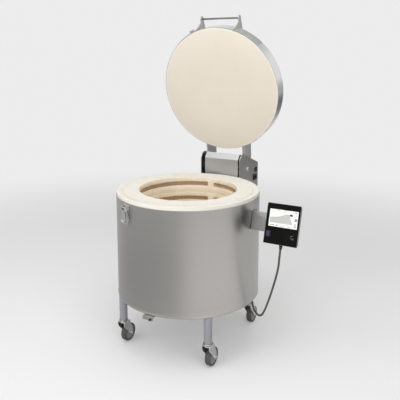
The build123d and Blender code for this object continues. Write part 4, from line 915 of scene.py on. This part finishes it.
def relief(origin, xAxis, yAxis, length):
    # a collar, then ribs that get smaller towards the cable: each rib's radius drops by one step
    collar = gland["collar"]
    profile = [(collar, 0.0), (collar, length * 0.26), (7.2, length * 0.3), (7.0, length * 0.34)]
    for step in range(gland["ribs"]):
        start = length * (0.36 + step * 0.15)
        radius = 6.9 - step * 0.45
        profile += [(radius, start), (radius, start + length * 0.08),
                    (radius - 1.1, start + length * 0.095), (radius - 1.1, start + length * 0.14)]
    return lathe(profile + [(5.0, length), (4.05, length), (4.05, 0.0)], onAxes(origin, xAxis, yAxis), 32)


exitPlace = onPanel(0.0, -panel["height"] / 2 + gland["panelInset"], gland["panelDepth"])
panelOut = np.array([0.0, -math.cos(tilt), math.sin(tilt)])
glandAngle = math.radians(gland["angle"])
basePlace = (gland["reach"] * math.cos(glandAngle), gland["reach"] * math.sin(glandAngle), gland["height"])
addPiece("strain_reliefs", [relief(exitPlace, xDir, panelOut, gland["panelLength"]),
                            relief(basePlace, yDir, xDir, gland["length"])],
         blackPlastic, "kiln", ["cable_glands"], "black_plastic", sharp=35)
print("controller made")

# Control cable: the CAD route's points as the control points of one smooth spline
cable = {
    "dia": 8.0,
    "length": 472.0,
    "points": [
        (435.95, -61.41, 480.25), (435.95, -70.68, 451.72), (428.55, -55.88, 408.79),
        (412.92, -44.2, 351.07), (394.01, -30.07, 293.35), (373.44, -14.71, 237.01),
        (354.53, -0.57, 190.28), (335.2, 13.87, 155.65), (312.25, 31.01, 144.66),
        (288.57, 48.71, 152.35), (273.1, 60.26, 175.72), (271.46, 61.49, 205.4),
    ],
}
cableCurve = bpy.data.curves.new("control_cable", "CURVE")
cableCurve.dimensions = "3D"
cableCurve.bevel_depth = cable["dia"] / 2000
cableCurve.bevel_resolution = 6
cableCurve.resolution_u = 24
cableCurve.use_fill_caps = True
spline = cableCurve.splines.new("NURBS")
spline.points.add(len(cable["points"]) - 1)
for point, place in zip(spline.points, cable["points"]):
    point.co = (*[value * 0.001 for value in place], 1)
spline.order_u = 3
spline.use_endpoint_u = True
cableCurve.materials.append(cableSheath)
cableObject = bpy.data.objects.new("control_cable", cableCurve)
scene.collection.objects.link(cableObject)
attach(cableObject, "kiln")
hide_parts("controller_cable")
print("cable hung")

# Studio: a pale floor that fades into the wall's tone. Metal reflects a softer version of it, with
# a bright side at the front right, a dim one at the left and a dark far side behind the kiln.
studio = {"wall": (0.842, 0.842, 0.842), "floor": (0.72, 0.72, 0.72), "lift": 0.22, "size": 30.0,
          "fadeFrom": 1.3, "fadeTo": 3.6, "soft": 0.5}
wallColour = (*studio["wall"], 1)


def surroundings(direction, farAway):
    # tone of the floor and horizon seen in metal, by compass direction and by how far off it is
    def towards(degrees):
        heading = (math.cos(math.radians(degrees)), math.sin(math.radians(degrees)), 0)
        return direction.vector("DOT_PRODUCT", heading)
    near = (towards(-26).between(0.58, 1.0) * 0.42 + 0.73 - towards(-130).between(0.35, 1.0) * 0.18
            + towards(60).between(0.2, 0.9) * 0.1)
    distant = 0.78 - towards(70).between(0.93, 0.995) * 0.6
    return near + farAway * (distant - near)


def rayKinds(tree):
    # two values: 1 for what the camera sees, and 1 for what metal mirrors
    rays = tree.nodes.new("ShaderNodeLightPath").outputs
    return Sock(tree, rays["Is Camera Ray"]), Sock(tree, rays["Is Glossy Ray"])


floorMesh = bpy.data.meshes.new("studio_floor")
half = studio["size"]
floorMesh.from_pydata([(-half, -half, 0), (half, -half, 0), (half, half, 0), (-half, half, 0)], [],
                      [(0, 1, 2, 3)])
floorObject = bpy.data.objects.new("studio_floor", floorMesh)
scene.collection.objects.link(floorObject)
floorMaterial = newMaterial("studio floor", lambda place: {}, {
    "Roughness": 0.9, "Specular IOR Level": 0.2, "Base Color": (*studio["floor"], 1)})
floorTree = floorMaterial.node_tree
floorSurface = Sock(floorTree, floorTree.nodes["Principled BSDF"].outputs["BSDF"])
floorPlace = Sock(floorTree, floorTree.nodes["Texture Coordinate"].outputs["Object"])
distance = floorPlace.vector("LENGTH")
heading = floorPlace.vector("NORMALIZE", output="Vector")
seen, mirrored = rayKinds(floorTree)


def glow(strength):
    # light of the wall's colour at this strength
    return floorPlace.node("ShaderNodeEmission", None, {"Color": wallColour, "Strength": strength})


def mixShaders(share, first, second):
    return floorPlace.node("ShaderNodeMixShader", None, {0: share, 1: first, 2: second})


nearFloor = floorPlace.node("ShaderNodeAddShader", None, {0: floorSurface, 1: glow(seen * studio["lift"])})
farFloor = glow(seen * (1 - studio["soft"]) + studio["soft"])
shownFloor = mixShaders(distance.between(studio["fadeFrom"], studio["fadeTo"]), nearFloor, farFloor)
mirrorTone = surroundings(heading, distance.between(1.9, 3.2) - distance.between(6.0, 12.0) * 0.5)
wholeFloor = mixShaders(mirrored * distance.between(0.3, 0.9), shownFloor, glow(mirrorTone))
floorTree.links.new(wholeFloor.socket, floorTree.nodes["Material Output"].inputs["Surface"])
floorMesh.materials.append(floorMaterial)

world = bpy.data.worlds.new("studio")
scene.world = world
world.use_nodes = True
worldTree = world.node_tree
background = worldTree.nodes["Background"]
background.inputs["Color"].default_value = wallColour
direction = Sock(worldTree, worldTree.nodes.new("ShaderNodeTexCoord").outputs["Generated"])
seen, mirrored = rayKinds(worldTree)
rise = direction.node("ShaderNodeSeparateXYZ", None, {"Vector": direction}, "Z")
horizon = surroundings(direction, 0.5)
upper = 1.0 - rise.between(0.4, 0.62) * 0.35
mirrorTone = horizon + rise.between(-0.03, 0.12) * (upper - horizon)
strength = seen + (1 - seen) * (mirrored * mirrorTone + (1 - mirrored) * studio["soft"])
worldTree.links.new(strength.socket, background.inputs["Strength"])


def addLamp(name, place, target, size, power, mirrored=True):
    # an area lamp that looks from its place at its target, with or without a mirror image in metal
    lampData = bpy.data.lights.new(name, "AREA")
    lampData.shape = "RECTANGLE"
    lampData.size, lampData.size_y = size
    lampData.energy = power
    lamp = bpy.data.objects.new(name, lampData)
    direction = Vector(target) - Vector(place)
    lamp.matrix_world = Matrix.Translation(place) @ direction.to_track_quat("-Z", "Y").to_matrix().to_4x4()
    lamp.visible_glossy = mirrored
    scene.collection.objects.link(lamp)


addLamp("key_lamp", (-1.3, -2.3, 3.0), (0, 0, 0.6), (2.0, 2.0), 25)
addLamp("fill_lamp", (2.3, -1.7, 2.8), (0, 0, 0.6), (2.0, 2.0), 23)
addLamp("front_lamp", (0.3, -3.2, 0.8), (0, 0, 1.0), (2.4, 1.4), 31, mirrored=False)
addLamp("top_lamp", (0.2, -0.5, 3.2), (0, 0, 0.3), (2.4, 2.4), 32)

scene.view_settings.view_transform = "Standard"
